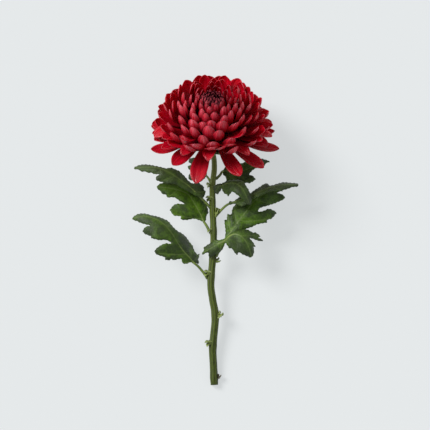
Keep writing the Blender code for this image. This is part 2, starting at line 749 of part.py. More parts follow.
def bract(name, out, axis, end_radius, end_height):
    """One bract: it starts on the cup, spreads out and turns up under the florets."""
    foot_radius, foot_height = BRACT_FOOT
    side = out.cross(axis)
    upper = []
    lower = []
    for s in BRACT_ROWS:
        turn = 0.5 * math.pi * s
        radius = foot_radius + (end_radius - foot_radius) * math.sin(turn)
        height = foot_height + (end_height - foot_height) * (1.0 - math.cos(turn))
        inner = (axis * math.cos(turn * 0.8) - out * math.sin(turn * 0.8)).normalized()
        half = 0.5 * BRACT_WIDTH * (0.45 + 1.1 * s - 1.25 * s**4)
        for t in (-1.0, 0.0, 1.0):
            point = RECEPTACLE + out * radius + axis * height + side * half * t
            point += inner * half * 0.25 * t * t
            upper.append(point + inner * BRACT_THICKNESS / 2)
            lower.append(point - inner * BRACT_THICKNESS / 2)
    return sheet(name, upper, lower, 3)


def stem_line():
    """The stem's centre line: the listed points, then up to the calyx along the bloom's axis."""
    axis = bloom_axes()[0]
    foot = RECEPTACLE + axis * (CALYX_PROFILE[0][1] - SEAT_GAP)
    return knotted_line([*STEM_POINTS, foot - axis * 0.0030, foot], STEM_SPAN_STEPS)


def stem_radius(place):
    """The stem tapers upwards, with a slight swelling at each side bud."""
    rise = (place.y - STEM_POINTS[0][1]) / (RECEPTACLE.y - STEM_POINTS[0][1])
    radius = STEM_RADIUS_CUT + (STEM_RADIUS_TOP - STEM_RADIUS_CUT) * min(1.0, rise)
    swell = sum(math.exp(-(((place.y - bud[0][1]) / NODE_SPREAD) ** 2)) for bud in BUDS)
    return radius * (1.0 + NODE_SWELL * min(1.0, swell))


def bud_spikes(name, place, heading, size, extra):
    """A side bud: three tiny folded leaves, each extra thicker than it grew."""
    foot = Vector(place)
    ahead = Vector(heading).normalized()
    aside = ahead.cross(Vector((0.0, 0.0, 1.0))).normalized()
    start = foot + ahead * STEM_RADIUS_TOP * 0.5
    reach = STEM_RADIUS_CUT + size + extra
    made = []
    for k, (lean, share) in enumerate(((0.0, 1.0), (0.55, 0.80), (-0.55, 0.72))):
        line_to = (ahead + aside * lean + Vector((0.0, 0.0, 0.25 * lean * lean))).normalized()
        tip = foot + line_to * reach * share
        middle = start.lerp(tip, 0.55) + Vector((0.0, 0.0, 0.0003 * (k + 1)))
        radii = [size * share + extra for share in (0.20, 0.26, 0.05)]
        made.append(tube(f"{name}_{k}", [start, middle, tip], radii, 3))
    return made


def stem_solid(name, extra):
    """The stem with its side buds, all extra thicker than they grew."""
    line = stem_line()
    rod = tube(name + "_rod", line, [stem_radius(p) + extra for p in line], STEM_SIDES)
    spikes = []
    for index, (place, heading, size) in enumerate(BUDS):
        spikes += bud_spikes(f"{name}_bud_{index}", place, heading, size, extra)
    return fuse(name, rod, spikes)


def make_stem():
    return finished(stem_solid("stem", 0.0), "stem_green")


def stem_room():
    """The cutter that keeps every petiole a hair's breadth off the stem and its buds."""
    room = stem_solid("stem_room", SEAT_GAP)
    room.hide_render = True
    room.display_type = "WIRE"
    return room


def blade_surface(blade):
    """A function from a place seen from the front to the point and normal there, in millimetres."""
    ribs = smooth_line(blade["midrib"], RIB_SAMPLES)
    headings = tangents(ribs)
    falls = blade["fall"]

    def depth(x, y):
        total = 0.0
        weights = 0.0
        for k, (rib, heading) in enumerate(zip(ribs, headings)):
            run_x = x - rib.x
            run_y = y - rib.y
            weight = (run_x * run_x + run_y * run_y + 0.6) ** -4
            aside = (heading.x * run_y - heading.y * run_x) / math.hypot(heading.x, heading.y)
            base, tip = falls[0] if aside > 0 else falls[1]
            fall = base + (tip - base) * k / RIB_SAMPLES
            total += weight * (rib.z + fall * abs(aside))
            weights += weight
        return total / weights

    def surface(x, y):
        step = 0.6
        slope_x = (depth(x + step, y) - depth(x - step, y)) / (2 * step)
        slope_y = (depth(x, y + step) - depth(x, y - step)) / (2 * step)
        return Vector((x, y, depth(x, y))), Vector((-slope_x, -slope_y, 1.0)).normalized()

    return surface, ribs


def inside(point, loop):
    """Whether a flat point lies inside a closed outline."""
    odd = False
    for a, b in zip(loop, [*loop[1:], loop[0]]):
        if (a.y > point.y) != (b.y > point.y):
            if point.x < a.x + (point.y - a.y) / (b.y - a.y) * (b.x - a.x):
                odd = not odd
    return odd


def blade_plan(blade, ribs):
    """The blade seen from the front, as flat points and triangles that its midrib runs along."""
    loop = [Vector(p) for p in blade["edge"]]
    count = len(loop)
    points = list(loop)
    lines = [(i, (i + 1) % count) for i in range(count)]
    for rib in ribs[1 : -1 : 3]:
        points.append(rib.xy)
        if len(points) > count + 1:
            lines.append((len(points) - 2, len(points) - 1))
    low_x = min(p.x for p in loop)
    low_y = min(p.y for p in loop)
    for column in range(1, int((max(p.x for p in loop) - low_x) / LEAF_GRID) + 1):
        for row in range(1, int((max(p.y for p in loop) - low_y) / LEAF_GRID) + 1):
            spot = Vector((low_x + column * LEAF_GRID, low_y + row * LEAF_GRID))
            clear = min((spot - p).length for p in points) > LEAF_MARGIN
            if clear and inside(spot, loop):
                points.append(spot)
    made = geometry.delaunay_2d_cdt(points, lines, [list(range(count))], 1, 1e-4)
    return made[0], made[2]


def make_blade(name, blade):
    """A closed thin blade: the same triangles above and below, joined round the edge."""
    surface, ribs = blade_surface(blade)
    flat, triangles = blade_plan(blade, ribs)
    upper = []
    lower = []
    for spot in flat:
        point, normal = surface(spot.x, spot.y)
        upper.append(point * MM + normal * LEAF_THICKNESS / 2)
        lower.append(point * MM - normal * LEAF_THICKNESS / 2)
    count = len(flat)
    faces = []
    border = set()
    for a, b, c in triangles:
        faces.append((a, b, c))
        faces.append((a + count, c + count, b + count))
        for edge in ((a, b), (b, c), (c, a)):
            if edge[::-1] in border:
                border.remove(edge[::-1])
            else:
                border.add(edge)
    for a, b in sorted(border):
        faces.append((a, a + count, b + count))
        faces.append((a, b + count, b))
    return mesh_object(name, [*upper, *lower], faces)


def make_rib(name, blade, stalk):
    """The midrib's near part, under its blade, with the petiole before it where one is given."""
    surface, ribs = blade_surface(blade)
    near = ribs[: int(RIB_SAMPLES * RIB_SHARE) : 3]
    sunk = [rib - surface(rib.x, rib.y)[1] * RIB_SINK for rib in near]
    line = smooth_line([Vector(p) * MM for p in (*stalk, *sunk)], PETIOLE_STEPS)
    radii = [PETIOLE_RADIUS * (1.0 - 0.55 * (k / PETIOLE_STEPS) ** 2) for k in range(PETIOLE_STEPS + 1)]
    return tube(name, line, radii, PETIOLE_SIDES)


def make_leaf(name, leaf, room):
    pieces = []
    for k, blade in enumerate(leaf["blades"]):
        pieces.append(make_blade(f"{name}_blade_{k}", blade))
        pieces.append(make_rib(f"{name}_rib_{k}", blade, leaf["petiole"] if k == 0 else ()))
    made = fuse(name, pieces[0], pieces[1:])
    boolean(made, "DIFFERENCE", other=room)
    return finished(made, "leaf_green")


def table_cutter(rest):
    """The table top, which presses a small flat spot on whatever rests on it."""
    half = TABLE_SIZE / 2
    square = ((-half, -half), (half, -half), (half, half), (-half, half))
    corners = [Vector((x, y, z)) for z in (-TABLE_DEPTH, 0.0) for x, y in square]
    faces = [(3, 2, 1, 0), (4, 5, 6, 7), (0, 1, 5, 4), (1, 2, 6, 5), (2, 3, 7, 6), (3, 0, 4, 7)]
    cutter = mesh_object("table_cutter", [rest.inverted() @ corner for corner in corners], faces)
    cutter.hide_render = True
    cutter.display_type = "WIRE"
    return cutter


def main():
    clear_scene()
    rest = Matrix.Translation(REST_MOVE) @ Matrix.Rotation(REST_TILT, 4, "X")
    room = stem_room()
    table = table_cutter(rest)
    nodes = [make_bloom(), make_eye(), make_calyx(), make_stem()]
    nodes += [make_leaf(name, leaf, room) for name, leaf in LEAVES.items()]
    for node in nodes:
        boolean(node, "DIFFERENCE", "MANIFOLD" if node.name == "bloom" else "EXACT", other=table)
    bpy.data.objects.remove(room)
    bpy.data.objects.remove(table)
    flower = bpy.data.objects.new("flower", None)
    bpy.context.scene.collection.objects.link(flower)
    flower.rotation_euler = (REST_TILT, 0.0, 0.0)
    flower.location = REST_MOVE
    for node in nodes:
        node.parent = flower
        node.data.shade_smooth()
        node.data.set_sharp_from_angle(angle=math.radians(40.0))


main()
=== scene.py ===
# %% [markdown]
# A cut pompon chrysanthemum, dressed for the camera.
#
# The flower lies on a table: a full red bloom, a ribbed green stem and eight lobed leaves. Its solids come
# from the imported frame, which says how large everything is and where it lies. This script keeps their
# form and replaces them with finer pieces: thin florets with hooded tips, leaves with veins and a wavy
# surface, a ribbed stem with little side buds, and the materials of all of them.
#
# We start by loading the frame. The finer pieces may pass its box by a millimetre at most.

# %% Load the frame
import math
import random

import bpy
import numpy as np
from mathutils import Matrix, Vector, geometry, noise


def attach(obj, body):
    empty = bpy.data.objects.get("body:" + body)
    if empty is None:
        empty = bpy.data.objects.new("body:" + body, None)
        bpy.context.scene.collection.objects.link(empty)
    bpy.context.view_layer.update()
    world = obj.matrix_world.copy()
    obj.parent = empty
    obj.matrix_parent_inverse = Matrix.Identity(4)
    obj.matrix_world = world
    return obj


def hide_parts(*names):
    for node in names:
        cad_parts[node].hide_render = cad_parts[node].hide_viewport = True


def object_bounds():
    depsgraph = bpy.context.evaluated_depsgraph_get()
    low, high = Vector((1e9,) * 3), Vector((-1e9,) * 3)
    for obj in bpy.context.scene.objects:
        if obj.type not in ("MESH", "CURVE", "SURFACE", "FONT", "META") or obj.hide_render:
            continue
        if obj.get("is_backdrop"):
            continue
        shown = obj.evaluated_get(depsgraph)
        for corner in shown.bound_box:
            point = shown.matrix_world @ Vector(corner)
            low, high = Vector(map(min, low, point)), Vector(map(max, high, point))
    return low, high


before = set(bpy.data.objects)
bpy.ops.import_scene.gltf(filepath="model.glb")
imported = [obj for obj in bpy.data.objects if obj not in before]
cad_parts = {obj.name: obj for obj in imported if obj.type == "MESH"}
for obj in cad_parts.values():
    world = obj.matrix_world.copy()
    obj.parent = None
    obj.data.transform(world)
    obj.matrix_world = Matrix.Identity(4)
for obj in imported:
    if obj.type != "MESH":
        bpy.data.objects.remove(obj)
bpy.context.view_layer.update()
print("solids:", ", ".join(sorted(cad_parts)))

# %% [markdown]
# The flower's own frame.
#
# A flower is easiest to shape upright, as it grew: X to the right, Y up the stem, and Z towards the side
# that the bloom's face turns to. One matrix then lays the whole flower on the table, just as its solids
# lie. Every piece is modelled upright, and its points go through that matrix, so that its object can stay
# at the origin. A petal that would sink into the table is pressed flat on it, as a real one is.

# %% The flower's frame and how it lies
MM = 0.001
REST_TILT = math.radians(7.6)
REST_MOVE = Vector((-0.0002, 0.0006, 0.0192))
REST = Matrix.Translation(REST_MOVE) @ Matrix.Rotation(REST_TILT, 4, "X")
TABLE_FILM = 0.0001
CUT_END = (0.0, -0.1238, 0.0)


def laid_down(points):
    """Points of the upright flower, where they are once it lies on the table."""
    turned = np.asarray(points, float) @ np.array(REST.to_3x3()).T + np.array(REST_MOVE)
    turned[:, 2] = np.maximum(turned[:, 2], TABLE_FILM)
    return turned


print("the stem's cut end lies at", [round(float(v), 4) for v in laid_down([CUT_END])[0]])

# %% [markdown]
# Gathering many small shapes in one mesh.
#
# A bloom has well over a hundred florets. As single objects they would be slow to handle, so their points
# and faces are gathered and become one mesh at the end. Each point also carries a few marks: plain numbers
# such as how far along its floret it lies. A mesh stores them as named attributes, and a material reads
# them back, so that colour can follow growth instead of following the room. A mark that a shape doesn't
# give is 0 there.

# %% A gatherer of shapes


def placed(name, data):
    """A new object of the scene that holds this data."""
    made = bpy.data.objects.new(name, data)
    bpy.context.scene.collection.objects.link(made)
    return made


class Gathering:
    """Points, faces and marks of many shapes that become one piece."""

    def __init__(self):
        self.points = []
        self.faces = []
        self.finish_numbers = []
        self.marks = {}

    def add(self, points, faces, marks, finish_number=0):
        first = len(self.points)
        self.points.extend(np.asarray(points, float).tolist())
        self.faces.extend([tuple(first + i for i in face) for face in faces])
        self.finish_numbers.extend([finish_number] * len(faces))
        for name in set(marks) | set(self.marks):
            values = self.marks.setdefault(name, [0.0] * first)
            given = np.broadcast_to(marks.get(name, 0.0), len(points))
            values.extend(given.astype(float).tolist())

    def piece(self, name, finishes, nodes):
        """The finished piece: laid down, smooth, in its materials, in the place of those solids."""
        mesh = bpy.data.meshes.new(name)
        mesh.from_pydata(laid_down(self.points).tolist(), [], self.faces)
        for mark, values in self.marks.items():
            mesh.attributes.new(mark, "FLOAT", "POINT").data.foreach_set("value", values)
        for finish in finishes:
            mesh.materials.append(finish)
        mesh.polygons.foreach_set("material_index", self.finish_numbers)
        mesh.shade_smooth()
        made = placed(name, mesh)
        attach(made, "root")
        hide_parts(*nodes)
        print(f"{name}: {len(self.points)} points, {len(self.faces)} faces")
        return made


trial = Gathering()
trial.add([(0, 0, 0), (1, 0, 0), (0, 1, 0)], [(0, 1, 2)], {"reach": [0, 1, 0]})
print("one triangle gathered:", len(trial.points), "points with the mark", *trial.marks)

# %% [markdown]
# Grids and rings.
#
# Nearly everything on this flower is one of two shapes. A petal, a bract or a leaf of a bud is a grid of
# points: s runs along it from 0 to 1 and t across it from -1 to 1. It is taken twice, for its two skins,
# and closed along the rim. A stem, a petiole or the bloom's core is a stack of rings. The helpers below
# say which points share a face, so a shape only has to say where its points lie.

# %% Faces of grids and rings


def grid_faces(rows, columns):
    """Quads over a grid of points that are listed row by row."""
    faces = []
    for row in range(rows - 1):
        for column in range(columns - 1):
            a = row * columns + column
            faces.append((a, a + 1, a + columns + 1, a + columns))
    return faces


def rim_of(rows, columns):
    """The points round a grid's border, in order."""
    rim = [row * columns for row in range(rows)]
    rim += [(rows - 1) * columns + column for column in range(1, columns)]
    rim += [row * columns + columns - 1 for row in reversed(range(rows - 1))]
    return rim + list(reversed(range(1, columns - 1)))


def blade_faces(rows, columns):
    """The faces of a thin closed blade: an upper grid, a lower grid and the edge between them."""
    count = rows * columns
    upper = grid_faces(rows, columns)
    lower = [tuple(count + i for i in reversed(face)) for face in upper]
    rim = rim_of(rows, columns)
    edge = [(a, b, b + count, a + count) for a, b in zip(rim, rim[1:] + rim[:1])]
    return upper + lower + edge


def two_skins(middle, normal, s, t, thickness, thinning):
    """The points of both skins of a blade round its middle surface, with their marks."""
    half = 0.5 * thickness * (1.0 - thinning * t * t)[None, :, None] * normal
    points = np.concatenate([middle + half, middle - half]).reshape(-1, 3)
    return points, {"reach": np.tile(np.repeat(s, len(t)), 2), "across": np.tile(t, 2 * len(s))}


def ring_faces(rings, sides, inwards=False):
    """Quads round a stack of rings that are listed ring by ring."""
    faces = []
    for a in range((rings - 1) * sides):
        b = a - a % sides + (a + 1) % sides
        faces.append((a, a + sides, b + sides, b) if inwards else (a, b, b + sides, a + sides))
    return faces


print("faces of a blade of 3 by 3 points:", len(blade_faces(3, 3)))

# %% [markdown]
# Curves and tubes.
#
# The stem, the petioles and the midribs all follow a curve through a few points. A Catmull-Rom curve is
# handy because it passes through the points that it is given. A tube is then a ring of points carried along
# such a curve. Its radius may depend on the angle, so that it can have ribs or a groove.

# %% Curves and tubes
FLOWER_Z = Vector((0.0, 0.0, 1.0))
SPAN_SAMPLES = 16


def knotted_line(points, per_span):
    """Points on a Catmull-Rom curve through the given ones, per_span of them to each span."""
    knots = [Vector(p) for p in points]
    knots = [2 * knots[0] - knots[1], *knots, 2 * knots[-1] - knots[-2]]
    line = []
    for i in range(1, len(knots) - 2):
        a, b, c, d = knots[i - 1 : i + 3]
        for k in range(per_span):
            t = k / per_span
            pull = (2 * a - 5 * b + 4 * c - d) * t * t + (3 * b - a - 3 * c + d) * t**3
            line.append(0.5 * (2 * b + (c - a) * t + pull))
    line.append(knots[-2])
    return line


def smooth_line(points, steps):
    """steps + 1 points on the same curve, evenly spread along it."""
    fine = knotted_line(points, SPAN_SAMPLES)
    gone = [0.0]
    for p, q in zip(fine, fine[1:]):
        gone.append(gone[-1] + (q - p).length)
    line = []
    k = 0
    for step in range(steps + 1):
        want = gone[-1] * step / steps
        while k < len(fine) - 2 and gone[k + 1] < want:
            k += 1
        share = (want - gone[k]) / (gone[k + 1] - gone[k])
        line.append(fine[k].lerp(fine[k + 1], share))
    return line


def tangents(line):
    """The heading at every point of a line."""
    ends = [line[0], *line, line[-1]]
    return [(ends[i + 2] - ends[i]).normalized() for i in range(len(line))]


def length_of(line):
    """How long the line is along its points."""
    return sum((q - p).length for p, q in zip(line, line[1:]))


def tube(line, radius_at, sides):
    """A tube's points and faces, and for each point the angle round it and the length along it in mm."""
    points = []
    around = []
    along = []
    gone = 0.0
    for step, (place, heading) in enumerate(zip(line, tangents(line))):
        side = heading.cross(FLOWER_Z).normalized()
        over = side.cross(heading)
        if step:
            gone += (place - line[step - 1]).length
        for k in range(sides):
            turn = math.tau * k / sides
            ray = side * math.cos(turn) + over * math.sin(turn)
            points.append(place + ray * radius_at(step, turn))
            around.append(turn)
            along.append(gone)
    faces = ring_faces(len(line), sides)
    faces.append(tuple(reversed(range(sides))))
    faces.append(tuple(range(len(points) - sides, len(points))))
    return points, faces, np.array(around), np.array(along) / MM


trial = smooth_line([(0, 0, 0), (0, 1, 0), (0, 1, 1)], 8)
print("a curve round a corner is", round(length_of(trial), 3), "long")

# %% [markdown]
# Writing materials as arithmetic.
#
# A shader graph that is wired by hand grows unreadable fast. The small class below wraps one socket, and
# its operators add Math nodes, so a mask can be written as `1 - along * 2`. Numbers that hold everywhere
# are still worked out in Python or set on the shader itself. Every other node, such as a noise or a colour
# mix, comes from the one method `node`.

# %% A socket with operators, and a finish that holds the nodes


def operator(operation, swapped=False):
    """A method of Wire that adds the Math node of that operation."""

    def method(self, other):
        return self.math(operation, *((other, self) if swapped else (self, other)))

    return method


class Wire:
    """A socket whose operators add Math nodes."""

    def __init__(self, finish, socket):
        self.finish = finish
        self.socket = socket

    def math(self, operation, *values):
        return self.finish.node("Math", {"operation": operation}, dict(enumerate(values)))

    __add__ = operator("ADD")
    __radd__ = operator("ADD", swapped=True)
    __sub__ = operator("SUBTRACT")
    __rsub__ = operator("SUBTRACT", swapped=True)
    __mul__ = operator("MULTIPLY")
    __rmul__ = operator("MULTIPLY", swapped=True)
    __truediv__ = operator("DIVIDE")
    __pow__ = operator("POWER")

    def clipped(self):
        return self.math("MINIMUM", self.math("MAXIMUM", self, 0.0), 1.0)


class Finish:
    """A material whose nodes are added one expression at a time."""

    def __init__(self, name, roughness, specular=0.5):
        self.material = bpy.data.materials.new(name)
        self.material.use_nodes = True
        self.tree = self.material.node_tree
        self.shader = self.tree.nodes["Principled BSDF"]
        self.set("Roughness", roughness)
        self.set("Specular IOR Level", specular)

    def set(self, socket, value):
        """Sets or links one of the shader's own sockets."""
        self._give(self.shader.inputs[socket], value)

    def _give(self, socket, value):
        if isinstance(value, Wire):
            self.tree.links.new(value.socket, socket)
        else:
            socket.default_value = value

    def node(self, kind, settings, inputs, output=0):
        """A node of that kind: its settings first, then the values or links of its sockets."""
        made = self.tree.nodes.new("ShaderNode" + kind)
        for name, value in settings.items():
            setattr(made, name, value)
        for socket, value in inputs.items():
            self._give(made.inputs[socket], value)
        return Wire(self, made.outputs[output])

    def mark(self, name):
        """A number that the mesh carries at each of its points."""
        return self.node("Attribute", {"attribute_name": name}, {}, "Fac")

    def marks(self, names):
        """Several of those numbers at once."""
        return [self.mark(name) for name in names.split()]

    def mix(self, share, low, high):
        """A colour that goes from low to high as share goes from 0 to 1."""
        return self.node("Mix", {"data_type": "RGBA"}, {0: share, 6: low, 7: high}, 2)

    def speckle(self, scale, detail=2.0, stretch=(1.0, 1.0, 1.0)):
        """Soft noise from 0 to 1, in the object's own coordinates."""
        place = self.node("TexCoord", {}, {}, "Object")
        place = self.node("Mapping", {}, {"Vector": place, "Scale": stretch})
        return self.node("TexNoise", {}, {"Vector": place, "Scale": scale, "Detail": detail})

    def ramp(self, value, start, end):
        """Eases from 0 at start to 1 at end."""
        settings = {"interpolation_type": "SMOOTHSTEP"}
        return self.node("MapRange", settings, {"Value": value, "From Min": start, "From Max": end})

    def relief(self, height, strength, depth=0.001):
        """Tilts the shading as that height would."""
        bump = self.node("Bump", {}, {"Height": height, "Strength": strength, "Distance": depth})
        self.set("Normal", bump)


trial = Finish("trial", 0.5)
fading = 1.0 - trial.mark("along") * 2.0
print("1 - along * 2 is a", type(fading).__name__, "and its material has", len(trial.tree.nodes), "nodes")
bpy.data.materials.remove(trial.material)

# %% [markdown]
# The table and the camera.
#
# The photo shows the flower upright before a pale backdrop, with a long lens. Ours lies on a table, so the
# camera hangs above it and looks straight along the flower's Z. One photo pixel is 0.8 mm of flower: the
# stem is 6.8 pixels wide, and a real one of this kind measures about 5.5 mm. The camera's height only
# sets how strong the perspective is, and the lens follows from it.
#
# The photo's backdrop is bright and even. Our table therefore gives off light of its own, and the flower's
# shadow on it stays faint. A wide sky gives the soft light, and a large lamp, up and to the left, gives
# the florets their lit and their shaded sides.

# %% Camera, table and light
PHOTO_SIDE = 430
PHOTO_PIXEL = 0.8 * MM
PHOTO_CENTRE = Vector((0.0, 0.012, 0.0))
CAMERA_RISE = 1.9
NEAREST_SEEN = 0.05
SENSOR = 36.0
TABLE_SIDE = 6.0
TABLE_COLOUR = (0.220, 0.224, 0.224, 1.0)
TABLE_GLOW = (0.545, 0.566, 0.572, 1.0)
SKY_COLOUR = (0.93, 0.97, 1.0, 1.0)
SKY_STRENGTH = 0.44
KEY_FROM = Vector((-0.62, 0.50, 0.62))
KEY_STRENGTH = 3.2
KEY_SPREAD = math.radians(25.0)


def make_camera():
    lens = bpy.data.cameras.new("camera")
    lens.sensor_width = SENSOR
    lens.lens = SENSOR * CAMERA_RISE / (PHOTO_SIDE * PHOTO_PIXEL)
    lens.clip_start = NEAREST_SEEN
    camera = placed("camera", lens)
    camera.matrix_world = REST @ Matrix.Translation(PHOTO_CENTRE + FLOWER_Z * CAMERA_RISE)
    bpy.context.scene.camera = camera
    return lens.lens


def make_table():
    finish = Finish("table_paint", 0.9, 0.0)
    finish.set("Base Color", TABLE_COLOUR)
    finish.set("Emission Color", TABLE_GLOW)
    finish.set("Emission Strength", 1.0)
    half = TABLE_SIDE / 2
    corners = [(-half, -half, 0), (half, -half, 0), (half, half, 0), (-half, half, 0)]
    mesh = bpy.data.meshes.new("table")
    mesh.from_pydata(corners, [], [(0, 1, 2, 3)])
    mesh.materials.append(finish.material)
    table = placed("table", mesh)
    table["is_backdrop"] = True


def make_light():
    sky = bpy.data.worlds.new("studio")
    sky.use_nodes = True
    background = sky.node_tree.nodes["Background"].inputs
    background["Color"].default_value = SKY_COLOUR
    background["Strength"].default_value = SKY_STRENGTH
    bpy.context.scene.world = sky
    lamp = bpy.data.lights.new("window", "SUN")
    lamp.energy = KEY_STRENGTH
    lamp.angle = KEY_SPREAD
    window = placed("window", lamp)
    window.matrix_world = REST @ KEY_FROM.to_track_quat("Z", "Y").to_matrix().to_4x4()


bpy.context.scene.view_settings.view_transform = "Standard"
print("lens in mm:", round(make_camera(), 1))
make_table()
make_light()

# %% [markdown]
# Where the florets stand.
#
# A chrysanthemum's head packs its florets along spirals, each one turned by the golden angle from the one
# before. The oldest open outermost and lie lowest. Two angles place a floret: its azimuth round the bloom's
# axis, counted from the front, and its polar angle, which says how far it leans from that axis. The dome
# says how far its tip reaches, with a dip in the middle for the young ones.

# %% The bloom's frame and its dome
RECEPTACLE = Vector((-0.002, 0.0744, 0.010))
FACE_TURN = math.radians(40.0)
BLOOM_AXIS = Vector((0.0, math.cos(FACE_TURN), math.sin(FACE_TURN)))
BLOOM_FRONT = Vector((0.0, -math.sin(FACE_TURN), math.cos(FACE_TURN)))
BLOOM_RIGHT = Vector((1.0, 0.0, 0.0))
BLOOM_REACH = 0.0495
EYE_SINK = 0.0075
EYE_SPREAD = math.radians(26.0)
GOLDEN_ANGLE = math.radians(137.50776)


def outwards(azimuth):
    """The direction away from the bloom's axis at that azimuth."""
    return BLOOM_FRONT * math.cos(azimuth) + BLOOM_RIGHT * math.sin(azimuth)


def dome_reach(polar):
    """How far a floret's tip lies from the receptacle at a polar angle from the axis."""
    return BLOOM_REACH - EYE_SINK * math.exp(-((polar / EYE_SPREAD) ** 2))


print("the dome reaches", [round(dome_reach(math.radians(a)) / MM, 1) for a in (0, 45, 90)], "mm")

# %% [markdown]
# Grown and young florets.
#
# The grown florets follow the solids' rule with the same seed, so they stand where the solids' florets
# stand. The older a floret is, the lower it lies and the less it curls. In front they gather and curl in
# over one another, and at the crown, behind the eye, they are wider. The young ones stand up round the
# eye. They are finer and more crowded than the solids', but behind the eye every third one is left out.
#
# `age` runs from 0 for the youngest to 1 for the oldest, and the petal finish reads it too. `wrap` is how
# far a floret's sides close round it, `hook` how far its tip bends in, `point` how fast the tip narrows and
# `widest` where it begins to. Lengths are in metres, wraps and the young ones' roll in degrees.

# %% The rules for grown and young florets
RANDOM_SEED = 11
FLORET_ROOT = (0.0190, 0.0125)

GROWN_COUNT = 100
GROWN_POLAR = (math.radians(36.0), math.radians(88.0))
GROWN_PACKING = 1.08
GROWN_WIDTH = (0.0088, 0.0118)
GROWN_YOUNGEST = 0.35
GROWN_AGE_SPAN = 0.45
GROWN_JITTER = math.radians(3.5)
GROWN_ROLL = math.radians(16.0)
GROWN_REACH_JITTER = (-0.0016, 0.0012)
GROWN_WRAP = 64.0
OLD_UNWRAP = 22.0
CROWN_UNWRAP = 14.0
CROWN_WIDER = 0.30
CROWN_RISE = 0.0016
CROWN_BLUNTER = 0.16
FRONT_WIDER = 0.10
FRONT_GATHER = 0.28
FRONT_CURL = math.radians(20.0)
CURL_GROWN = math.radians(19.0)
CURL_OLD = math.radians(3.0)
CURL_JITTER = math.radians(6.0)
DROOP_AGE = 0.85
DROOP_FACING = 0.40

YOUNG_COUNT = 62
YOUNG_POLAR = (math.radians(12.0), math.radians(36.0))
YOUNG_WIDTH = (0.0036, 0.0082)
YOUNG_WIDER = 0.35
YOUNG_JITTER = math.radians(2.4)
YOUNG_REACH_JITTER = (-0.0010, 0.0008)
YOUNG_ROLL = 6.0
YOUNG_WRAP = 74.0
CURL_YOUNG = math.radians(12.0)
SPARED_BEHIND = 0.35


def blend(low, high, share):
    """Eases from low to high as share runs from 0 to 1."""
    share = min(1.0, max(0.0, share))
    return low + (high - low) * share * share * (3.0 - 2.0 * share)


def grown_floret(n, draw):
    """The n-th grown floret, from the outside in: older ones lie lower, wider and less curled."""
    age = 1.0 - (n / GROWN_COUNT) ** GROWN_PACKING
    polar = GROWN_POLAR[0] + (GROWN_POLAR[1] - GROWN_POLAR[0]) * age
    azimuth = n * GOLDEN_ANGLE + draw.uniform(-1.0, 1.0) * GROWN_JITTER
    facing = max(0.0, math.cos(azimuth))
    behind = max(0.0, -math.cos(azimuth))
    polar *= 1.0 - FRONT_GATHER * facing**1.5 * age * age
    curl = blend(CURL_GROWN, CURL_OLD, age) + FRONT_CURL * facing**4 * age
    return {
        "azimuth": azimuth,
        "polar": polar + draw.uniform(-0.5, 0.5) * GROWN_JITTER,
        "reach": dome_reach(polar) + draw.uniform(*GROWN_REACH_JITTER) + CROWN_RISE * behind,
        "curl": curl + draw.uniform(-1.0, 1.0) * CURL_JITTER,
        "width": blend(*GROWN_WIDTH, age) * (1.0 + CROWN_WIDER * behind + FRONT_WIDER * facing),
        "wrap": math.radians(GROWN_WRAP - OLD_UNWRAP * age - CROWN_UNWRAP * behind),
        "roll": draw.uniform(-1.0, 1.0) * GROWN_ROLL,
        "hook": 0.0008,
        "point": 0.62 - CROWN_BLUNTER * behind,
        "widest": 0.75 - 0.06 * age,
        "age": GROWN_YOUNGEST + GROWN_AGE_SPAN * age,
        "root": blend(*FLORET_ROOT, age),
        "left_out": age > DROOP_AGE and math.cos(azimuth) > DROOP_FACING,
    }


def young_floret(n, draw):
    """The n-th young floret, from the outside in: they stand up round the eye."""
    age = 1.0 - n / YOUNG_COUNT
    polar = YOUNG_POLAR[0] + (YOUNG_POLAR[1] - YOUNG_POLAR[0]) * age
    azimuth = n * GOLDEN_ANGLE + draw.uniform(-1.0, 1.0) * YOUNG_JITTER
    behind = max(0.0, -math.cos(azimuth))
    width = YOUNG_WIDTH[0] + (YOUNG_WIDTH[1] - YOUNG_WIDTH[0]) * age
    return {
        "azimuth": azimuth,
        "polar": polar + draw.uniform(-0.5, 0.5) * YOUNG_JITTER,
        "reach": dome_reach(polar) + draw.uniform(*YOUNG_REACH_JITTER),
        "curl": blend(CURL_YOUNG, CURL_GROWN, age),
        "width": width * (1.0 + YOUNG_WIDER * behind),
        "wrap": math.radians(YOUNG_WRAP),
        "roll": math.radians(draw.uniform(-YOUNG_ROLL, YOUNG_ROLL)),
        "hook": 0.0006,
        "point": 0.68 - 0.10 * behind,
        "widest": 0.74,
        "age": 0.05 + 0.30 * age,
        "root": FLORET_ROOT[0],
        "left_out": behind > SPARED_BEHIND and n % 3 == 1,
    }


trial = grown_floret(0, random.Random(RANDOM_SEED))
print("the oldest grown floret leans", round(math.degrees(trial["polar"])), "degrees from the axis")

# %% [markdown]
# The drooping florets.
#
# The lowest florets are the oldest. They have lost their curl and hang down over the leaves. The photo
# shows those in front one by one, so they are listed, with the ones behind to match, and the rule above
# leaves its own florets out in front. Listed too is one grown floret that fills a gap which the golden
# angle happens to leave there.

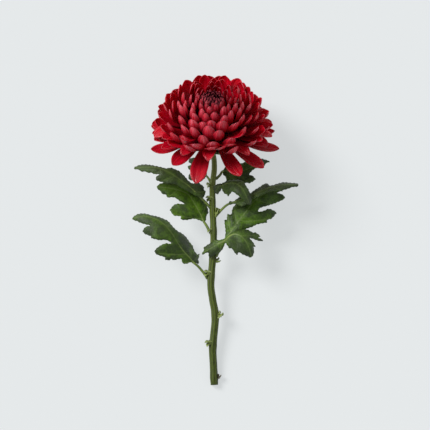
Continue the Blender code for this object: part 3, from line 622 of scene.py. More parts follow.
# %% The listed florets
DROOP_FORM = {"wrap": 34, "hook": 0.0, "point": 0.75, "widest": 0.58, "age": 1.0, "root": FLORET_ROOT[1]}
GAP_FORM = {"wrap": 56, "hook": 0.0008, "point": 0.56, "widest": 0.74, "age": 0.38, "root": FLORET_ROOT[0]}
LISTED = ("azimuth", "polar", "reach", "curl", "width", "roll")
ANGLES = ("azimuth", "polar", "curl", "roll", "wrap")
OUTER_FLORETS = (
    (-16, 99, 0.0515, -6, 0.0122, -6),
    (24, 95, 0.0500, -4, 0.0126, 4),
    (50, 96, 0.0525, -3, 0.0108, 14),
    (76, 93, 0.0545, 8, 0.0115, 10),
    (98, 88, 0.0500, 8, 0.0115, 0),
    (121, 96, 0.0505, 4, 0.0118, 4),
    (144, 100, 0.0510, 2, 0.0120, -5),
    (167, 101, 0.0510, 0, 0.0120, 3),
    (190, 101, 0.0510, 0, 0.0120, -3),
    (213, 100, 0.0505, 2, 0.0120, 6),
    (236, 96, 0.0505, 4, 0.0118, 0),
    (259, 88, 0.0505, 6, 0.0116, 0),
    (285, 95, 0.0505, 4, 0.0114, -12),
    (319, 89, 0.0485, -2, 0.0114, -16),
    (-3, 77, 0.0450, -10, 0.0112, 8),
    (36, 78, 0.0475, -9, 0.0112, 10),
    (62, 81, 0.0495, -5, 0.0110, 12),
    (-31, 76, 0.0470, -9, 0.0114, -12),
    (-53, 78, 0.0500, -6, 0.0112, -10),
)
GAP_FLORET = (-17, 39.5, 0.0470, 18, 0.0094, 4)


def listed_floret(row, form):
    """A floret from the list, with its angles in radians."""
    spec = {**dict(zip(LISTED, row)), **form}
    return {key: math.radians(value) if key in ANGLES else value for key, value in spec.items()}


print("listed florets:", len(OUTER_FLORETS) + 1)

# %% [markdown]
# No two alike.
#
# A rule alone gives a bloom that looks turned on a lathe. Each floret therefore gets its own tint, sway,
# width, wrap, hook, roll and curl, and among the older ones in front some have opened more than their
# neighbours. The chances come from a seeded source of their own, so the bloom is the same every time.

# %% All florets, each with its variety
FLORET_SWAY = 0.20
WIDTH_VARIETY = (0.88, 1.12)
WRAP_VARIETY = (0.86, 1.12)
HOOK_VARIETY = (0.2, 2.2)
ROLL_VARIETY = math.radians(9.0)
CURL_VARIETY = math.radians(4.0)
OPEN_AGES = (0.58, 0.90)
OPEN_FACING = 0.2
OPEN_SHARE = 0.45
OPENING = math.radians(16.0)
OPEN_UNWRAP = 0.75


def vary(spec, chance):
    """Gives a floret what is its own."""
    spec["tint"] = chance.random()
    spec["sway"] = chance.uniform(-1.0, 1.0) * FLORET_SWAY * spec["width"]
    spec["width"] *= chance.uniform(*WIDTH_VARIETY)
    spec["wrap"] *= chance.uniform(*WRAP_VARIETY)
    spec["hook"] *= chance.uniform(*HOOK_VARIETY)
    spec["roll"] += chance.uniform(-1.0, 1.0) * ROLL_VARIETY
    spec["curl"] += chance.uniform(-1.0, 1.0) * CURL_VARIETY
    may_open = OPEN_AGES[0] < spec["age"] < OPEN_AGES[1] and math.cos(spec["azimuth"]) > OPEN_FACING
    if may_open and chance.random() < OPEN_SHARE:
        spec["curl"] -= OPENING
        spec["wrap"] *= OPEN_UNWRAP


def floret_specs():
    """Every floret's place and form: the grown ones, the young ones and the listed ones."""
    draw = random.Random(RANDOM_SEED)
    specs = [grown_floret(n, draw) for n in range(GROWN_COUNT)]
    specs += [young_floret(n, draw) for n in range(YOUNG_COUNT)]
    specs = [spec for spec in specs if not spec["left_out"]]
    specs += [listed_floret(row, DROOP_FORM) for row in OUTER_FLORETS]
    specs.append(listed_floret(GAP_FLORET, GAP_FORM))
    chance = random.Random(RANDOM_SEED + 4)
    for spec in specs:
        vary(spec, chance)
    return specs


print("florets:", len(floret_specs()))

# %% [markdown]
# The shape of one floret.
#
# A ray floret is a thin strap that narrows to its root. This flower's florets are incurved: the strap
# first leans outwards, then bends back over the bloom, and its sides wrap round like a spoon's, so that
# the tip makes a little hood. Its middle line is a quadratic Bezier curve. Across that line the strap is
# an arc of a circle, and the wrap is half of that arc's angle. Towards the tip the arc gives way to a
# keel, as the floret folds along its midline, and a faint ripple runs along it. The two skins lie a third
# of a millimetre apart and draw together at the edges.

# %% Shaping a floret
ROOT_PULL = 0.80
FLORET_KNEE = 0.80
FLORET_ROOT_SHARE = 0.42
FLORET_SKIN = 0.00032
FLORET_THINNING = 0.5
FLORET_RIPPLE = 0.00030
FLORET_RIPPLES = 3.0
RIPPLE_END = 1.3
FLORET_KEEL = 0.62
WRAP_AT_ROOT = 0.75
FLORET_COLUMNS = 13
BODY_ROWS = 8
TIP_TURNS = (14, 28, 42, 54, 66, 76, 84)
HOOK_START = 0.62


def floret_rows(widest):
    """Places along a floret: even on its body, then ever closer as its tip rounds off."""
    body = [widest * k / (BODY_ROWS - 1) for k in range(BODY_ROWS)]
    tip = [widest + (1.0 - widest) * math.sin(math.radians(a)) for a in TIP_TURNS]
    return np.array(body + tip)


def floret_width(spec, s):
    """Share of the full width at s from the root, 0, to the tip, 1."""
    swelling = np.sin(0.5 * math.pi * np.minimum(s / spec["widest"], 1.0))
    body = FLORET_ROOT_SHARE + (1.0 - FLORET_ROOT_SHARE) * swelling
    past = np.clip((s - spec["widest"]) / (1.0 - spec["widest"]), 0.0, 1.0)
    return body * (1.0 - past * past) ** spec["point"]


def floret_line(spec, s):
    """A floret's middle line: its points, sideways and inner directions at every s."""
    axis = np.array(BLOOM_AXIS)
    out = np.array(outwards(spec["azimuth"]))

    def ray(polar):
        return out * math.sin(polar) + axis * math.cos(polar)

    root = ray(spec["polar"] * ROOT_PULL) * spec["root"]
    control = ray(spec["polar"] + spec["curl"]) * spec["reach"] * FLORET_KNEE
    end = ray(spec["polar"]) * spec["reach"]
    s = s[:, None]
    place = root * (1 - s) ** 2 + control * 2 * s * (1 - s) + end * s * s
    heading = (control - root) * (1 - s) + (end - control) * s
    heading /= np.linalg.norm(heading, axis=1)[:, None]
    flat_side = np.cross(out, axis)
    roll = spec["roll"] * s
    side = flat_side * np.cos(roll) + np.cross(heading, flat_side) * np.sin(roll)
    inner = np.cross(side, heading)
    bent = np.clip((s - HOOK_START) / (1.0 - HOOK_START), 0.0, 1.0) ** 2
    place = place + inner * spec["hook"] * bent + side * spec["sway"] * s * s
    return place, side, inner


def floret_skins(spec):
    """The inner and the back skin of a floret, with their marks."""
    s = floret_rows(spec["widest"])
    t = np.linspace(-1.0, 1.0, FLORET_COLUMNS)
    place, side, inner = floret_line(spec, s)
    wrap = spec["wrap"] * (WRAP_AT_ROOT + (1.0 - WRAP_AT_ROOT) * s)[:, None]
    half = 0.5 * spec["width"] * floret_width(spec, s)[:, None]
    radius = half / np.sin(wrap)
    turn = wrap * t[None, :]
    sideways = radius * np.sin(turn)
    inwards = radius * (1.0 - np.cos(turn))
    fold = radius * (1.0 - np.cos(wrap)) * np.abs(t)[None, :]
    inwards = inwards + (fold - inwards) * FLORET_KEEL * (s * s)[:, None]
    middle = place[:, None] + side[:, None] * sideways[..., None] + inner[:, None] * inwards[..., None]
    normal = inner[:, None] * np.cos(turn)[..., None] - side[:, None] * np.sin(turn)[..., None]
    calm_ends = np.sqrt(s * (RIPPLE_END - s))[:, None]
    ripple = FLORET_RIPPLE * np.cos(FLORET_RIPPLES * math.pi * t)[None, :] * calm_ends
    middle = middle + normal * ripple[..., None]
    points, marks = two_skins(middle, normal, s, t, FLORET_SKIN, FLORET_THINNING)
    marks["back"] = np.repeat([0.0, 1.0], len(s) * len(t))
    marks["age"] = spec["age"]
    marks["tint"] = spec["tint"]
    return points + np.array(RECEPTACLE), marks


FLORET_FACES = blade_faces(BODY_ROWS + len(TIP_TURNS), FLORET_COLUMNS)
print("a floret has", len(FLORET_FACES), "faces")

# %% [markdown]
# The colour of the florets.
#
# Inside, a floret is a deep, pure red with brighter streaks. Towards its root it is painted darker, as
# painted shade where no light gets in, and its darker streaks are partly painted shade of its folds. The
# oldest have darkened. The back has painted shade towards its root and on its sides, and painted pink
# highlights along its crest, thinly along its rim and most at the tip. The youngest florets are dark all
# over, partly in their own darker red and partly as painted shade of the crowded middle. Petals also let
# some light through, which the subsurface gives. The marks say which skin a point is on and how far along,
# so the whole bloom needs one material.

# %% The petal finish
# Painted shade: the first colour darkens a floret's inside towards its root and in its darker streaks
FACE_ROOT_SHADE = (0.20, 0.0, 0.007, 1.0)
FACE_RED = (0.58, 0.0, 0.013, 1.0)
FACE_BRIGHT = (0.72, 0.008, 0.030, 1.0)
FACE_OLD = (0.22, 0.0, 0.008, 1.0)
# The back's dark root and sides are painted shade; its pink crest, rim and tip are painted highlights
BACK_ROOT_SHADE = (0.17, 0.001, 0.006, 1.0)
BACK_SIDE_SHADE = (0.25, 0.0, 0.008, 1.0)
BACK_RED = (0.58, 0.002, 0.020, 1.0)
BACK_HIGHLIGHT_PINK = (0.92, 0.20, 0.27, 1.0)
BACK_TIP_HIGHLIGHT = (1.0, 0.36, 0.42, 1.0)
# Dark red of the youngest florets: partly their own colour, partly painted shade of the crowded middle
PETAL_YOUNG_AND_SHADE = (0.13, 0.001, 0.006, 1.0)
PETAL_DEPTH = 0.0020
RIDGE_RATE = 22.0


def petal_finish():
    finish = Finish("petal_red", 0.34, 0.48)
    finish.set("Subsurface Weight", 0.30)
    finish.set("Subsurface Radius", (1.0, 0.15, 0.15))
    finish.set("Subsurface Scale", PETAL_DEPTH)
    reach, across, back, age, tint = finish.marks("reach across back age tint")
    place = finish.node("CombineXYZ", {}, {"X": across * 5.0, "Y": reach * 1.3, "Z": tint * 37.0})
    streaks = finish.node("TexNoise", {}, {"Vector": place, "Scale": 1.0, "Detail": 3.0})
    streaks = finish.ramp(streaks, 0.34, 0.68)
    # Inside: painted shade at the root, brighter streaks and streaks of painted shade, darker on the oldest
    lit = finish.ramp(reach, 0.22, 0.82)
    inside = finish.mix(lit, FACE_ROOT_SHADE, FACE_RED)
    inside = finish.mix((streaks * 0.55 * reach + (tint - 0.5) * 0.3).clipped(), inside, FACE_BRIGHT)
    inside = finish.mix((1.0 - streaks) * 0.35, inside, FACE_ROOT_SHADE)
    inside = finish.mix(finish.ramp(age, 0.82, 1.0) * 0.42, inside, FACE_OLD)
    # Outside: painted pink highlights on the crest near the tip, thinly on the rim and most at the very tip
    crest = 1.0 - across * across
    painted_pink_highlight = finish.ramp(reach, 0.66, 1.0) * (0.05 + 0.45 * crest) * 0.95 * streaks
    # Painted highlight along the rim
    rim = finish.ramp(across * across, 0.70, 1.0) * 0.20 * finish.ramp(reach, 0.5, 1.0) * streaks
    # Painted highlight at the very tip
    painted_tip_highlight = finish.ramp(reach, 0.86, 1.0) * (0.25 + 0.75 * streaks) * 0.20 * (1.1 - 0.5 * age)
    painted_pink_highlight = (painted_pink_highlight * (1.15 - 0.5 * age) + rim).clipped()
    # Painted shade: the back darkens towards its root and on its sides
    outside = finish.mix(finish.ramp(reach, 0.52, 0.96), BACK_ROOT_SHADE, BACK_RED)
    outside = finish.mix(finish.ramp(across * across, 0.15, 1.0) * 0.55, outside, BACK_SIDE_SHADE)
    outside = finish.mix(painted_pink_highlight, outside, BACK_HIGHLIGHT_PINK)
    outside = finish.mix(painted_tip_highlight.clipped(), outside, BACK_TIP_HIGHLIGHT)
    colour = finish.mix(back, inside, outside)
    # Darker near the eye: partly the young florets' own red, partly painted shade of the crowded middle
    young = (1.0 - finish.ramp(age, 0.06, 0.24)) * 0.6
    finish.set("Base Color", finish.mix(young, colour, PETAL_YOUNG_AND_SHADE))
    ridges = finish.node("Math", {"operation": "SINE"}, {0: across * RIDGE_RATE})
    finish.relief(ridges * 0.4 + streaks * 1.4, 0.5, 0.0003)
    return finish.material


petal_red = petal_finish()
print("the petal finish has", len(petal_red.node_tree.nodes), "nodes")

# %% [markdown]
# The bloom's heart.
#
# Under the florets lies the receptacle, a dome that nobody sees. A small core stands in for it and for the
# crowded roots. It is painted nearly black, as painted shade, so that the gaps between florets go dark
# instead of showing the table. Its foot, which can be seen from below round the calyx, is red like the
# roots of the lowest florets.

# %% The core, and the bloom put together
# Painted shade: the core's near-black darkens the gaps between florets
CORE_SHADE_COLOUR = (0.020, 0.0, 0.002, 1.0)
CORE_LOW = (0.20, 0.004, 0.010, 1.0)
CORE_LOW_HEIGHTS = (-0.001, 0.009)
CORE_NUMBER = 1
CORE_SIDES = 48
CORE_PROFILE = (
    (0.0060, -0.0038),
    (0.0080, -0.0034),
    (0.0098, -0.0008),
    (0.0118, 0.0042),
    (0.0165, 0.0105),
    (0.0205, 0.0180),
    (0.0195, 0.0260),
    (0.0130, 0.0310),
    (0.0050, 0.0330),
)


def turned(profile, sides):
    """Points and faces of a shape turned round the bloom's axis, closed at both ends."""
    points = []
    for radius, height in profile:
        for k in range(sides):
            points.append(RECEPTACLE + BLOOM_AXIS * height + outwards(math.tau * k / sides) * radius)
    faces = ring_faces(len(profile), sides, inwards=True)
    faces.append(tuple(range(sides)))
    faces.append(tuple(reversed(range(len(points) - sides, len(points)))))
    return points, faces


def core_finish():
    core = Finish("core_shade", 1.0, 0.0)
    # Painted shade, nearly black, with a red foot
    low = 1.0 - core.ramp(core.mark("height"), *CORE_LOW_HEIGHTS)
    core.set("Base Color", core.mix(low, CORE_SHADE_COLOUR, CORE_LOW))
    return core.material


def make_bloom():
    bloom = Gathering()
    for spec in floret_specs():
        points, marks = floret_skins(spec)
        bloom.add(points, FLORET_FACES, marks)
    points, faces = turned(CORE_PROFILE, CORE_SIDES)
    heights = np.repeat([height for _, height in CORE_PROFILE], CORE_SIDES)
    bloom.add(points, faces, {"height": heights}, CORE_NUMBER)
    return bloom.piece("bloom_florets", [petal_red, core_finish()], ["bloom"])


make_bloom()

# %% [markdown]
# The eye.
#
# In the middle, the youngest florets are still buds: tiny dark spikes that lean in and hide the disc. They
# follow the same spiral. Each is a small folded blade, so the one floret shape serves again with other
# numbers. Only the colour differs: nearly black at the foot, which is painted shade where the buds crowd,
# and deep maroon above, partly the buds' own colour and partly painted shade, with pink tips, which are
# the brighter the farther out a bud stands.

# %% Building the eye
EYE_FLORETS = 60
EYE_POLAR = math.radians(13.5)
EYE_REACH = 0.0405
EYE_BULGE = 0.0010
EYE_WIDTH = (0.0018, 0.0034)
EYE_ROOT = 0.0300
EYE_TURN_JITTER = 0.08
EYE_REACH_JITTER = 0.0010
EYE_ROLL = 0.3
EYE_WRAP = 80.0
EYE_CURL = 5.0
EYE_RIM_CURL = 9.0
EYE_SWAY = 0.0003
# Painted shade: the nearly black foot of the eye's buds
EYE_FOOT_SHADE = (0.006, 0.0, 0.001, 1.0)
EYE_SIDE = (0.026, 0.0, 0.002, 1.0)
EYE_TIP = (0.62, 0.070, 0.105, 1.0)


def eye_floret(n, chance):
    """The n-th floret of the eye, from the middle outwards."""
    share = math.sqrt((n + 0.5) / EYE_FLORETS)
    azimuth = n * GOLDEN_ANGLE + chance.uniform(-EYE_TURN_JITTER, EYE_TURN_JITTER)
    bulge = EYE_BULGE * (1.0 - share * share)
    return {
        "azimuth": azimuth,
        "polar": EYE_POLAR * share,
        "reach": EYE_REACH + bulge + chance.uniform(-EYE_REACH_JITTER, EYE_REACH_JITTER),
        "curl": math.radians(EYE_CURL + EYE_RIM_CURL * share),
        "width": EYE_WIDTH[0] + (EYE_WIDTH[1] - EYE_WIDTH[0]) * share,
        "wrap": math.radians(EYE_WRAP),
        "roll": chance.uniform(-EYE_ROLL, EYE_ROLL),
        "hook": 0.0005,
        "point": 0.6,
        "widest": 0.66,
        "age": share,
        "tint": chance.random(),
        "sway": chance.uniform(-EYE_SWAY, EYE_SWAY),
        "root": EYE_ROOT,
    }


def eye_finish():
    finish = Finish("eye_maroon", 0.5, 0.3)
    reach, tint, age = finish.marks("reach tint age")
    tip = finish.ramp(reach, 0.84, 1.0) * (0.25 + 0.75 * age) * (0.2 + tint)
    # Painted shade: nearly black at the foot, where the buds crowd
    colour = finish.mix(finish.ramp(reach, 0.45, 0.95), EYE_FOOT_SHADE, EYE_SIDE)
    finish.set("Base Color", finish.mix(tip.clipped(), colour, EYE_TIP))
    return finish.material


def make_eye():
    eye = Gathering()
    chance = random.Random(RANDOM_SEED + 2)
    for n in range(EYE_FLORETS):
        points, marks = floret_skins(eye_floret(n, chance))
        eye.add(points, FLORET_FACES, marks)
    return eye.piece("eye_florets", [eye_finish()], ["eye"])


make_eye()

# %% [markdown]
# The green of calyx and buds.
#
# Bracts and side buds are young tissue: a yellowish green with paler edges. Fresh buds are lighter still,
# and a bud that has dried is brown. Marks say which is which, so both share this finish.

# %% The bract finish
BRACT_GREEN = (0.105, 0.185, 0.035, 1.0)
BRACT_EDGE = (0.30, 0.36, 0.12, 1.0)
BRACT_DEEP = (0.050, 0.100, 0.020, 1.0)
BRACT_DRIED = (0.055, 0.044, 0.020, 1.0)
BUD_FRESH = (0.175, 0.215, 0.045, 1.0)
BUD_TIP = (0.30, 0.35, 0.12, 1.0)


def bract_finish():
    finish = Finish("bract_green", 0.5)
    reach, across, fresh, dried = finish.marks("reach across fresh dried")
    speckle = finish.speckle(700.0)
    colour = finish.mix(finish.ramp(reach, 0.0, 0.9), BRACT_DEEP, BRACT_GREEN)
    edge = finish.ramp(across * across, 0.45, 1.0) * 0.7 * (0.6 + 0.5 * speckle)
    colour = finish.mix(edge.clipped(), colour, BRACT_EDGE)
    young = finish.mix(finish.ramp(reach, 0.35, 1.0), BUD_FRESH, BUD_TIP)
    colour = finish.mix(fresh * 0.75, colour, young)
    finish.set("Base Color", finish.mix(dried, colour, BRACT_DRIED))
    finish.relief(speckle, 0.3, 0.0003)
    return finish.material


bract_green = bract_finish()
print("the bract finish has", len(bract_green.node_tree.nodes), "nodes")

# %% [markdown]
# The calyx.
#
# Under the bloom sits a green cup of overlapping bracts. It can't be seen in the photo, but the flower may
# be turned over. The cup is a turned shape, and the bracts are small hollow blades in three rings that
# rise from it and spread under the florets, each ring turned half a step against the one before.

# %% Building the calyx
CALYX_PROFILE = (
    (0.0021, -0.0129),
    (0.0030, -0.0124),
    (0.0044, -0.0113),
    (0.0062, -0.0098),
    (0.0078, -0.0082),
    (0.0089, -0.0064),
    (0.0094, -0.0046),
    (0.0090, -0.0036),
)
CALYX_SIDES = 40
CUP_MARK = 0.2

# Bracts in the ring, radius and height of their tips, width
BRACT_RINGS = ((13, 0.0098, -0.0080, 0.0042), (13, 0.0128, -0.0062, 0.0052), (13, 0.0160, -0.0044, 0.0056))
BRACT_FOOT = (0.0040, -0.0112)
BRACT_TIP_TURN = 0.8
BRACT_HOLLOW = 0.35
BRACT_SKIN = 0.0004
BRACT_THINNING = 0.6
LEAFLET_FORM = (0.35, 2.1, 2.43)
LEAFLET_ROWS = np.linspace(0.0, 1.0, 9)
LEAFLET_COLUMNS = np.linspace(-1.0, 1.0, 7)
LEAFLET_FACES = blade_faces(len(LEAFLET_ROWS), len(LEAFLET_COLUMNS))


def leaflet(middle, side, inner, width, hollow):
    """A small hollow leaf round its middle line: broad below the middle, pointed at the tip."""
    s = LEAFLET_ROWS
    t = LEAFLET_COLUMNS
    foot, swell, close = LEAFLET_FORM
    half = (0.5 * width * np.sqrt(foot + swell * s - close * s**3))[:, None]
    surface = middle[:, None] + (half * t)[..., None] * side
    surface = surface + (half * hollow * t * t)[..., None] * inner
    return two_skins(surface, inner, s, t, BRACT_SKIN, BRACT_THINNING)


def bract_skins(turn, end_radius, end_height, width):
    """One bract: it starts on the cup, spreads out and turns up under the florets."""
    axis = np.array(BLOOM_AXIS)
    out = np.array(outwards(turn))
    foot_radius, foot_height = BRACT_FOOT
    lean = 0.5 * math.pi * LEAFLET_ROWS
    radius = foot_radius + (end_radius - foot_radius) * np.sin(lean)
    height = foot_height + (end_height - foot_height) * (1.0 - np.cos(lean))
    middle = np.outer(radius, out) + np.outer(height, axis)
    inner = np.outer(np.cos(lean * BRACT_TIP_TURN), axis) - np.outer(np.sin(lean * BRACT_TIP_TURN), out)
    points, marks = leaflet(middle, np.cross(out, axis), inner[:, None], width, BRACT_HOLLOW)
    return points + np.array(RECEPTACLE), marks


def make_calyx():
    calyx = Gathering()
    points, faces = turned(CALYX_PROFILE, CALYX_SIDES)
    calyx.add(points, faces, {"reach": CUP_MARK})
    for ring, (count, end_radius, end_height, width) in enumerate(BRACT_RINGS):
        for k in range(count):
            turn = math.tau * (k + 0.5 * ring) / count
            points, marks = bract_skins(turn, end_radius, end_height, width)
            calyx.add(points, LEAFLET_FACES, marks)
    return calyx.piece("calyx_bracts", [bract_green], ["calyx"])


make_calyx()

# %% [markdown]
# The stem.
#
# A chrysanthemum's stem is woody and ribbed: low ridges run down from each leaf. It bends a little at every
# leaf joint, where it is also slightly thicker, and it is stoutest near the cut. The tube's radius
# therefore depends on the angle, for the ribs, and on the height, for the taper and the joints. Its centre
# line is the solids' own line. A side bud sits at each joint.

# %% The stem's line and its thickness
STEM_POINTS = (
    (-0.0006, -0.1238, 0.0),
    (-0.0013, -0.1080, 0.0),
    (-0.0018, -0.0935, 0.0),
    (0.0002, -0.0700, 0.0),
    (-0.0018, -0.0560, 0.0),
    (-0.0033, -0.0430, 0.0),
    (-0.0018, -0.0230, 0.0),
    (-0.0010, -0.0080, 0.0),
    (-0.0014, 0.0080, 0.0),
    (-0.0020, 0.0230, 0.0),
    (-0.0018, 0.0370, 0.0),
    (-0.0006, 0.0480, -0.0008),
    (-0.0008, 0.0565, -0.0022),
)
STEM_RADIUS_CUT = 0.0031
STEM_RADIUS_TOP = 0.0019
STEM_TAPER = 2.2
STEM_IN_CUP = 0.0004
STEM_STRAIGHT_TOP = 0.0034
STEM_SPAN_STEPS = 12
NODE_SWELL = 0.10
NODE_SPREAD = 0.0035

# Place of each side bud, the way it points, and its size
BUD_PLACES = (
    ((0.0002, -0.1180, 0.0), (1.0, 0.5, 0.2), 0.0024),
    ((-0.0018, -0.0925, 0.0), (-1.0, 0.35, 0.35), 0.0048),
    ((0.0002, -0.0680, 0.0), (1.0, 0.35, 0.35), 0.0046),
    ((-0.0036, -0.0375, 0.0), (-1.0, 0.75, 0.35), 0.0050),
    ((-0.0012, -0.0225, 0.0), (1.0, -0.30, -0.2), 0.0040),
    ((-0.0010, -0.0010, 0.0), (-1.0, -0.2, 0.6), 0.0034),
    ((-0.0012, 0.0140, 0.0), (0.9, 0.7, 0.6), 0.0050),
    ((-0.0020, 0.0225, 0.0), (-1.0, 0.6, 0.35), 0.0050),
    ((-0.0018, 0.0345, 0.0), (-1.0, 0.3, 0.35), 0.0042),
)


def stem_line():
    """The stem's centre line: the listed points, then up to the calyx along the bloom's axis."""
    foot = RECEPTACLE + BLOOM_AXIS * (CALYX_PROFILE[0][1] + STEM_IN_CUP)
    return knotted_line([*STEM_POINTS, foot - BLOOM_AXIS * STEM_STRAIGHT_TOP, foot], STEM_SPAN_STEPS)


def near_nodes(place, spread):
    """For each leaf joint, 1 at the joint, falling to 0 a few millimetres away."""
    return [math.exp(-(((place.y - bud[0][1]) / spread) ** 2)) for bud in BUD_PLACES]


def stem_radius(place):
    """The stem tapers upwards, with a slight swelling at each side bud."""
    rise = (place.y - STEM_POINTS[0][1]) / (RECEPTACLE.y - STEM_POINTS[0][1])
    taper = min(1.0, max(0.0, rise)) ** STEM_TAPER
    radius = STEM_RADIUS_CUT + (STEM_RADIUS_TOP - STEM_RADIUS_CUT) * taper
    return radius * (1.0 + NODE_SWELL * min(1.0, sum(near_nodes(place, NODE_SPREAD))))


print("stem length in mm:", round(length_of(stem_line()) / MM, 1))

# %% [markdown]
# The side buds.
#
# In every leaf joint sits a side bud that was never to open: a tuft of tiny leaves. Each of them is the
# calyx's leaflet again, bowed and folded more. The lowest bud, near the cut, has dried.

# %% A side bud
BUD_NUMBER = 1
DRIED_BUDS = 1
BUD_REACH = 0.80
BUD_FULLNESS = 1.15
BUD_FOOT = 0.6
BUD_BOW = 0.18
BUD_HOLLOW = 0.6
BUD_LIFT = 0.3
BUD_LIFTS = (-0.4, 1.0)
BUD_TUFT = ((0.0, 1.0), (0.55, 0.80), (-0.55, 0.72), (0.25, 0.62), (-0.2, 0.55))


def bud_leaflet(start, tip, over, width):
    """A tiny folded leaf from start to tip, as skins and marks."""
    start, tip, over = (np.array(v) for v in (start, tip, over))
    heading = tip - start
    side = np.cross(heading, over)
    side /= np.linalg.norm(side)
    inner = np.cross(side, heading)
    inner /= np.linalg.norm(inner)
    bow = np.outer(BUD_BOW * np.sin(math.pi * LEAFLET_ROWS), inner) * np.linalg.norm(heading)
    return leaflet(start + np.outer(LEAFLET_ROWS, heading) + bow, side, inner, width, BUD_HOLLOW)


def add_bud(stem, place, heading, size, dried, chance):
    """A side bud: its tiny leaves lean to either side, each one shorter than the last."""
    foot = Vector(place)
    ahead = Vector(heading).normalized()
    aside = ahead.cross(FLOWER_Z).normalized()
    radius = stem_radius(foot)
    reach = radius + size * BUD_REACH
    for lean, share in BUD_TUFT:
        lift = Vector((0.0, 0.0, BUD_LIFT * chance.uniform(*BUD_LIFTS)))
        tip = foot + (ahead + aside * lean + lift).normalized() * reach * share
        start = foot + ahead * radius * BUD_FOOT
        points, marks = bud_leaflet(start, tip, aside, size * share * BUD_FULLNESS)
        marks["dried"] = dried
        marks["fresh"] = 1.0 - dried
        stem.add(points, LEAFLET_FACES, marks, BUD_NUMBER)


print("side buds:", len(BUD_PLACES), "with", len(BUD_TUFT), "leaflets each")

# %% [markdown]
# The cut face and the down.
#
# The stem was cut straight, so its end shows pale pith, woody fibres round it and a thin green bark. The
# cut face is a set of rings a hair's breadth in front of the tube's end, each marked with its share of the
# radius. All over its skin the stem carries a short down: thousands of thin three-sided spikes.

# %% The cut face and the down
CUT_NUMBER = 2
CUT_LIFT = Vector((0.0, -0.00003, 0.0))
CUT_RINGS = (1.0, 0.86, 0.66, 0.30)
DOWN_NUMBER = 3
DOWN_COUNT = 3600
DOWN_LENGTH = 0.0006
DOWN_LENGTHS = (0.6, 1.2)
DOWN_LEAN = (0.2, 0.9)
DOWN_WIDTH = 0.00003
DOWN_FOOT = 0.93


def add_cut(stem, rim):
    """The cut face: rings from the rim inwards, marked with their share of the radius."""
    centre = sum(rim, Vector()) / len(rim)
    points = [centre.lerp(p, share) + CUT_LIFT for share in CUT_RINGS for p in rim]
    faces = ring_faces(len(CUT_RINGS), len(rim), inwards=True)
    faces.append(tuple(range(len(points) - len(rim), len(points))))
    stem.add(points, faces, {"radius": np.repeat(CUT_RINGS, len(rim))}, CUT_NUMBER)


def add_down(stem, line, radii, chance):
    """The short down of the stem: thin three-sided spikes that stand on its skin."""
    headings = tangents(line)
    for _ in range(DOWN_COUNT):
        step = chance.randrange(len(line) - 1)
        turn = chance.uniform(0.0, math.tau)
        heading = headings[step]
        side = heading.cross(FLOWER_Z).normalized()
        ray = side * math.cos(turn) + side.cross(heading) * math.sin(turn)
        foot = line[step].lerp(line[step + 1], chance.random()) + ray * radii[step] * DOWN_FOOT
        upright = (ray + heading * chance.uniform(*DOWN_LEAN)).normalized()
        tip = foot + upright * DOWN_LENGTH * chance.uniform(*DOWN_LENGTHS)
        across = heading.cross(ray) * DOWN_WIDTH
        base = [foot + across, foot - across, foot + heading * DOWN_WIDTH]
        stem.add([*base, tip], [(0, 1, 3), (1, 2, 3), (2, 0, 3)], {}, DOWN_NUMBER)


print("the down's spikes are up to", round(DOWN_LENGTH * DOWN_LENGTHS[1] / MM, 2), "mm long")

# %% [markdown]
# The stem's skin.
#
# Olive green, with paler ribs and darker grooves between them, a slight brown stain at the joints, and a
# yellower green towards the bloom. Just under the bloom the neck is painted paler, as painted light
# against the bloom's shadow on it. The marks made with the tube say where the ribs and joints are. The
# ribs stand out more towards the bloom, where the stem is still growing.

# %% The stem's finishes
STEM_GROOVE = (0.016, 0.018, 0.004, 1.0)
STEM_RIB = (0.088, 0.130, 0.008, 1.0)
STEM_STAIN = (0.050, 0.036, 0.020, 1.0)
STEM_FRESH = (0.120, 0.165, 0.018, 1.0)
# Painted light: the pale neck just under the bloom
STEM_NECK_PAINTED_LIGHT = (0.235, 0.280, 0.070, 1.0)
STEM_LENGTH_MM = 205.0
CUT_PITH = (0.62, 0.64, 0.42, 1.0)
CUT_WOOD = (0.36, 0.42, 0.18, 1.0)
CUT_BARK = (0.09, 0.14, 0.03, 1.0)
DOWN_COLOUR = (0.42, 0.46, 0.34, 1.0)


def stem_finish():
    finish = Finish("stem_green", 0.5, 0.3)
    rib, along, joint = finish.marks("rib along node")
    rise = along / STEM_LENGTH_MM
    streaks = finish.speckle(160.0, 3.0, (9.0, 1.0, 9.0))
    spots = finish.speckle(420.0, 2.0)
    ribbed = 0.45 + (0.12 + 0.42 * rise) * rib + 1.6 * (streaks - 0.5)
    colour = finish.mix(ribbed.clipped(), STEM_GROOVE, STEM_RIB)
    colour = finish.mix((rise * 0.45).clipped(), colour, STEM_FRESH)
    # Painted light on the neck, against the bloom's shadow
    colour = finish.mix(finish.ramp(rise, 0.70, 0.90) * 0.8, colour, STEM_NECK_PAINTED_LIGHT)
    stain = finish.ramp(streaks, 0.52, 0.72) * (0.18 + 0.5 * joint)
    finish.set("Base Color", finish.mix(stain.clipped(), colour, STEM_STAIN))
    finish.relief(spots + streaks * 2.0, 0.35, 0.0003)
    return finish.material


def cut_finish():
    """Pale pith, a ring of fibres round it and the thin green bark."""
    finish = Finish("stem_cut", 0.7)
    radius = finish.mark("radius")
    fibres = finish.speckle(2600.0, 1.0)
    colour = finish.mix(finish.ramp(radius, 0.45, 0.72), CUT_PITH, CUT_WOOD)
    colour = finish.mix(finish.ramp(radius, 0.84, 0.98), colour, CUT_BARK)
    finish.set("Base Color", finish.mix(finish.ramp(fibres, 0.50, 0.75) * 0.4, colour, CUT_BARK))
    finish.relief(fibres, 0.4, 0.0003)
    return finish.material


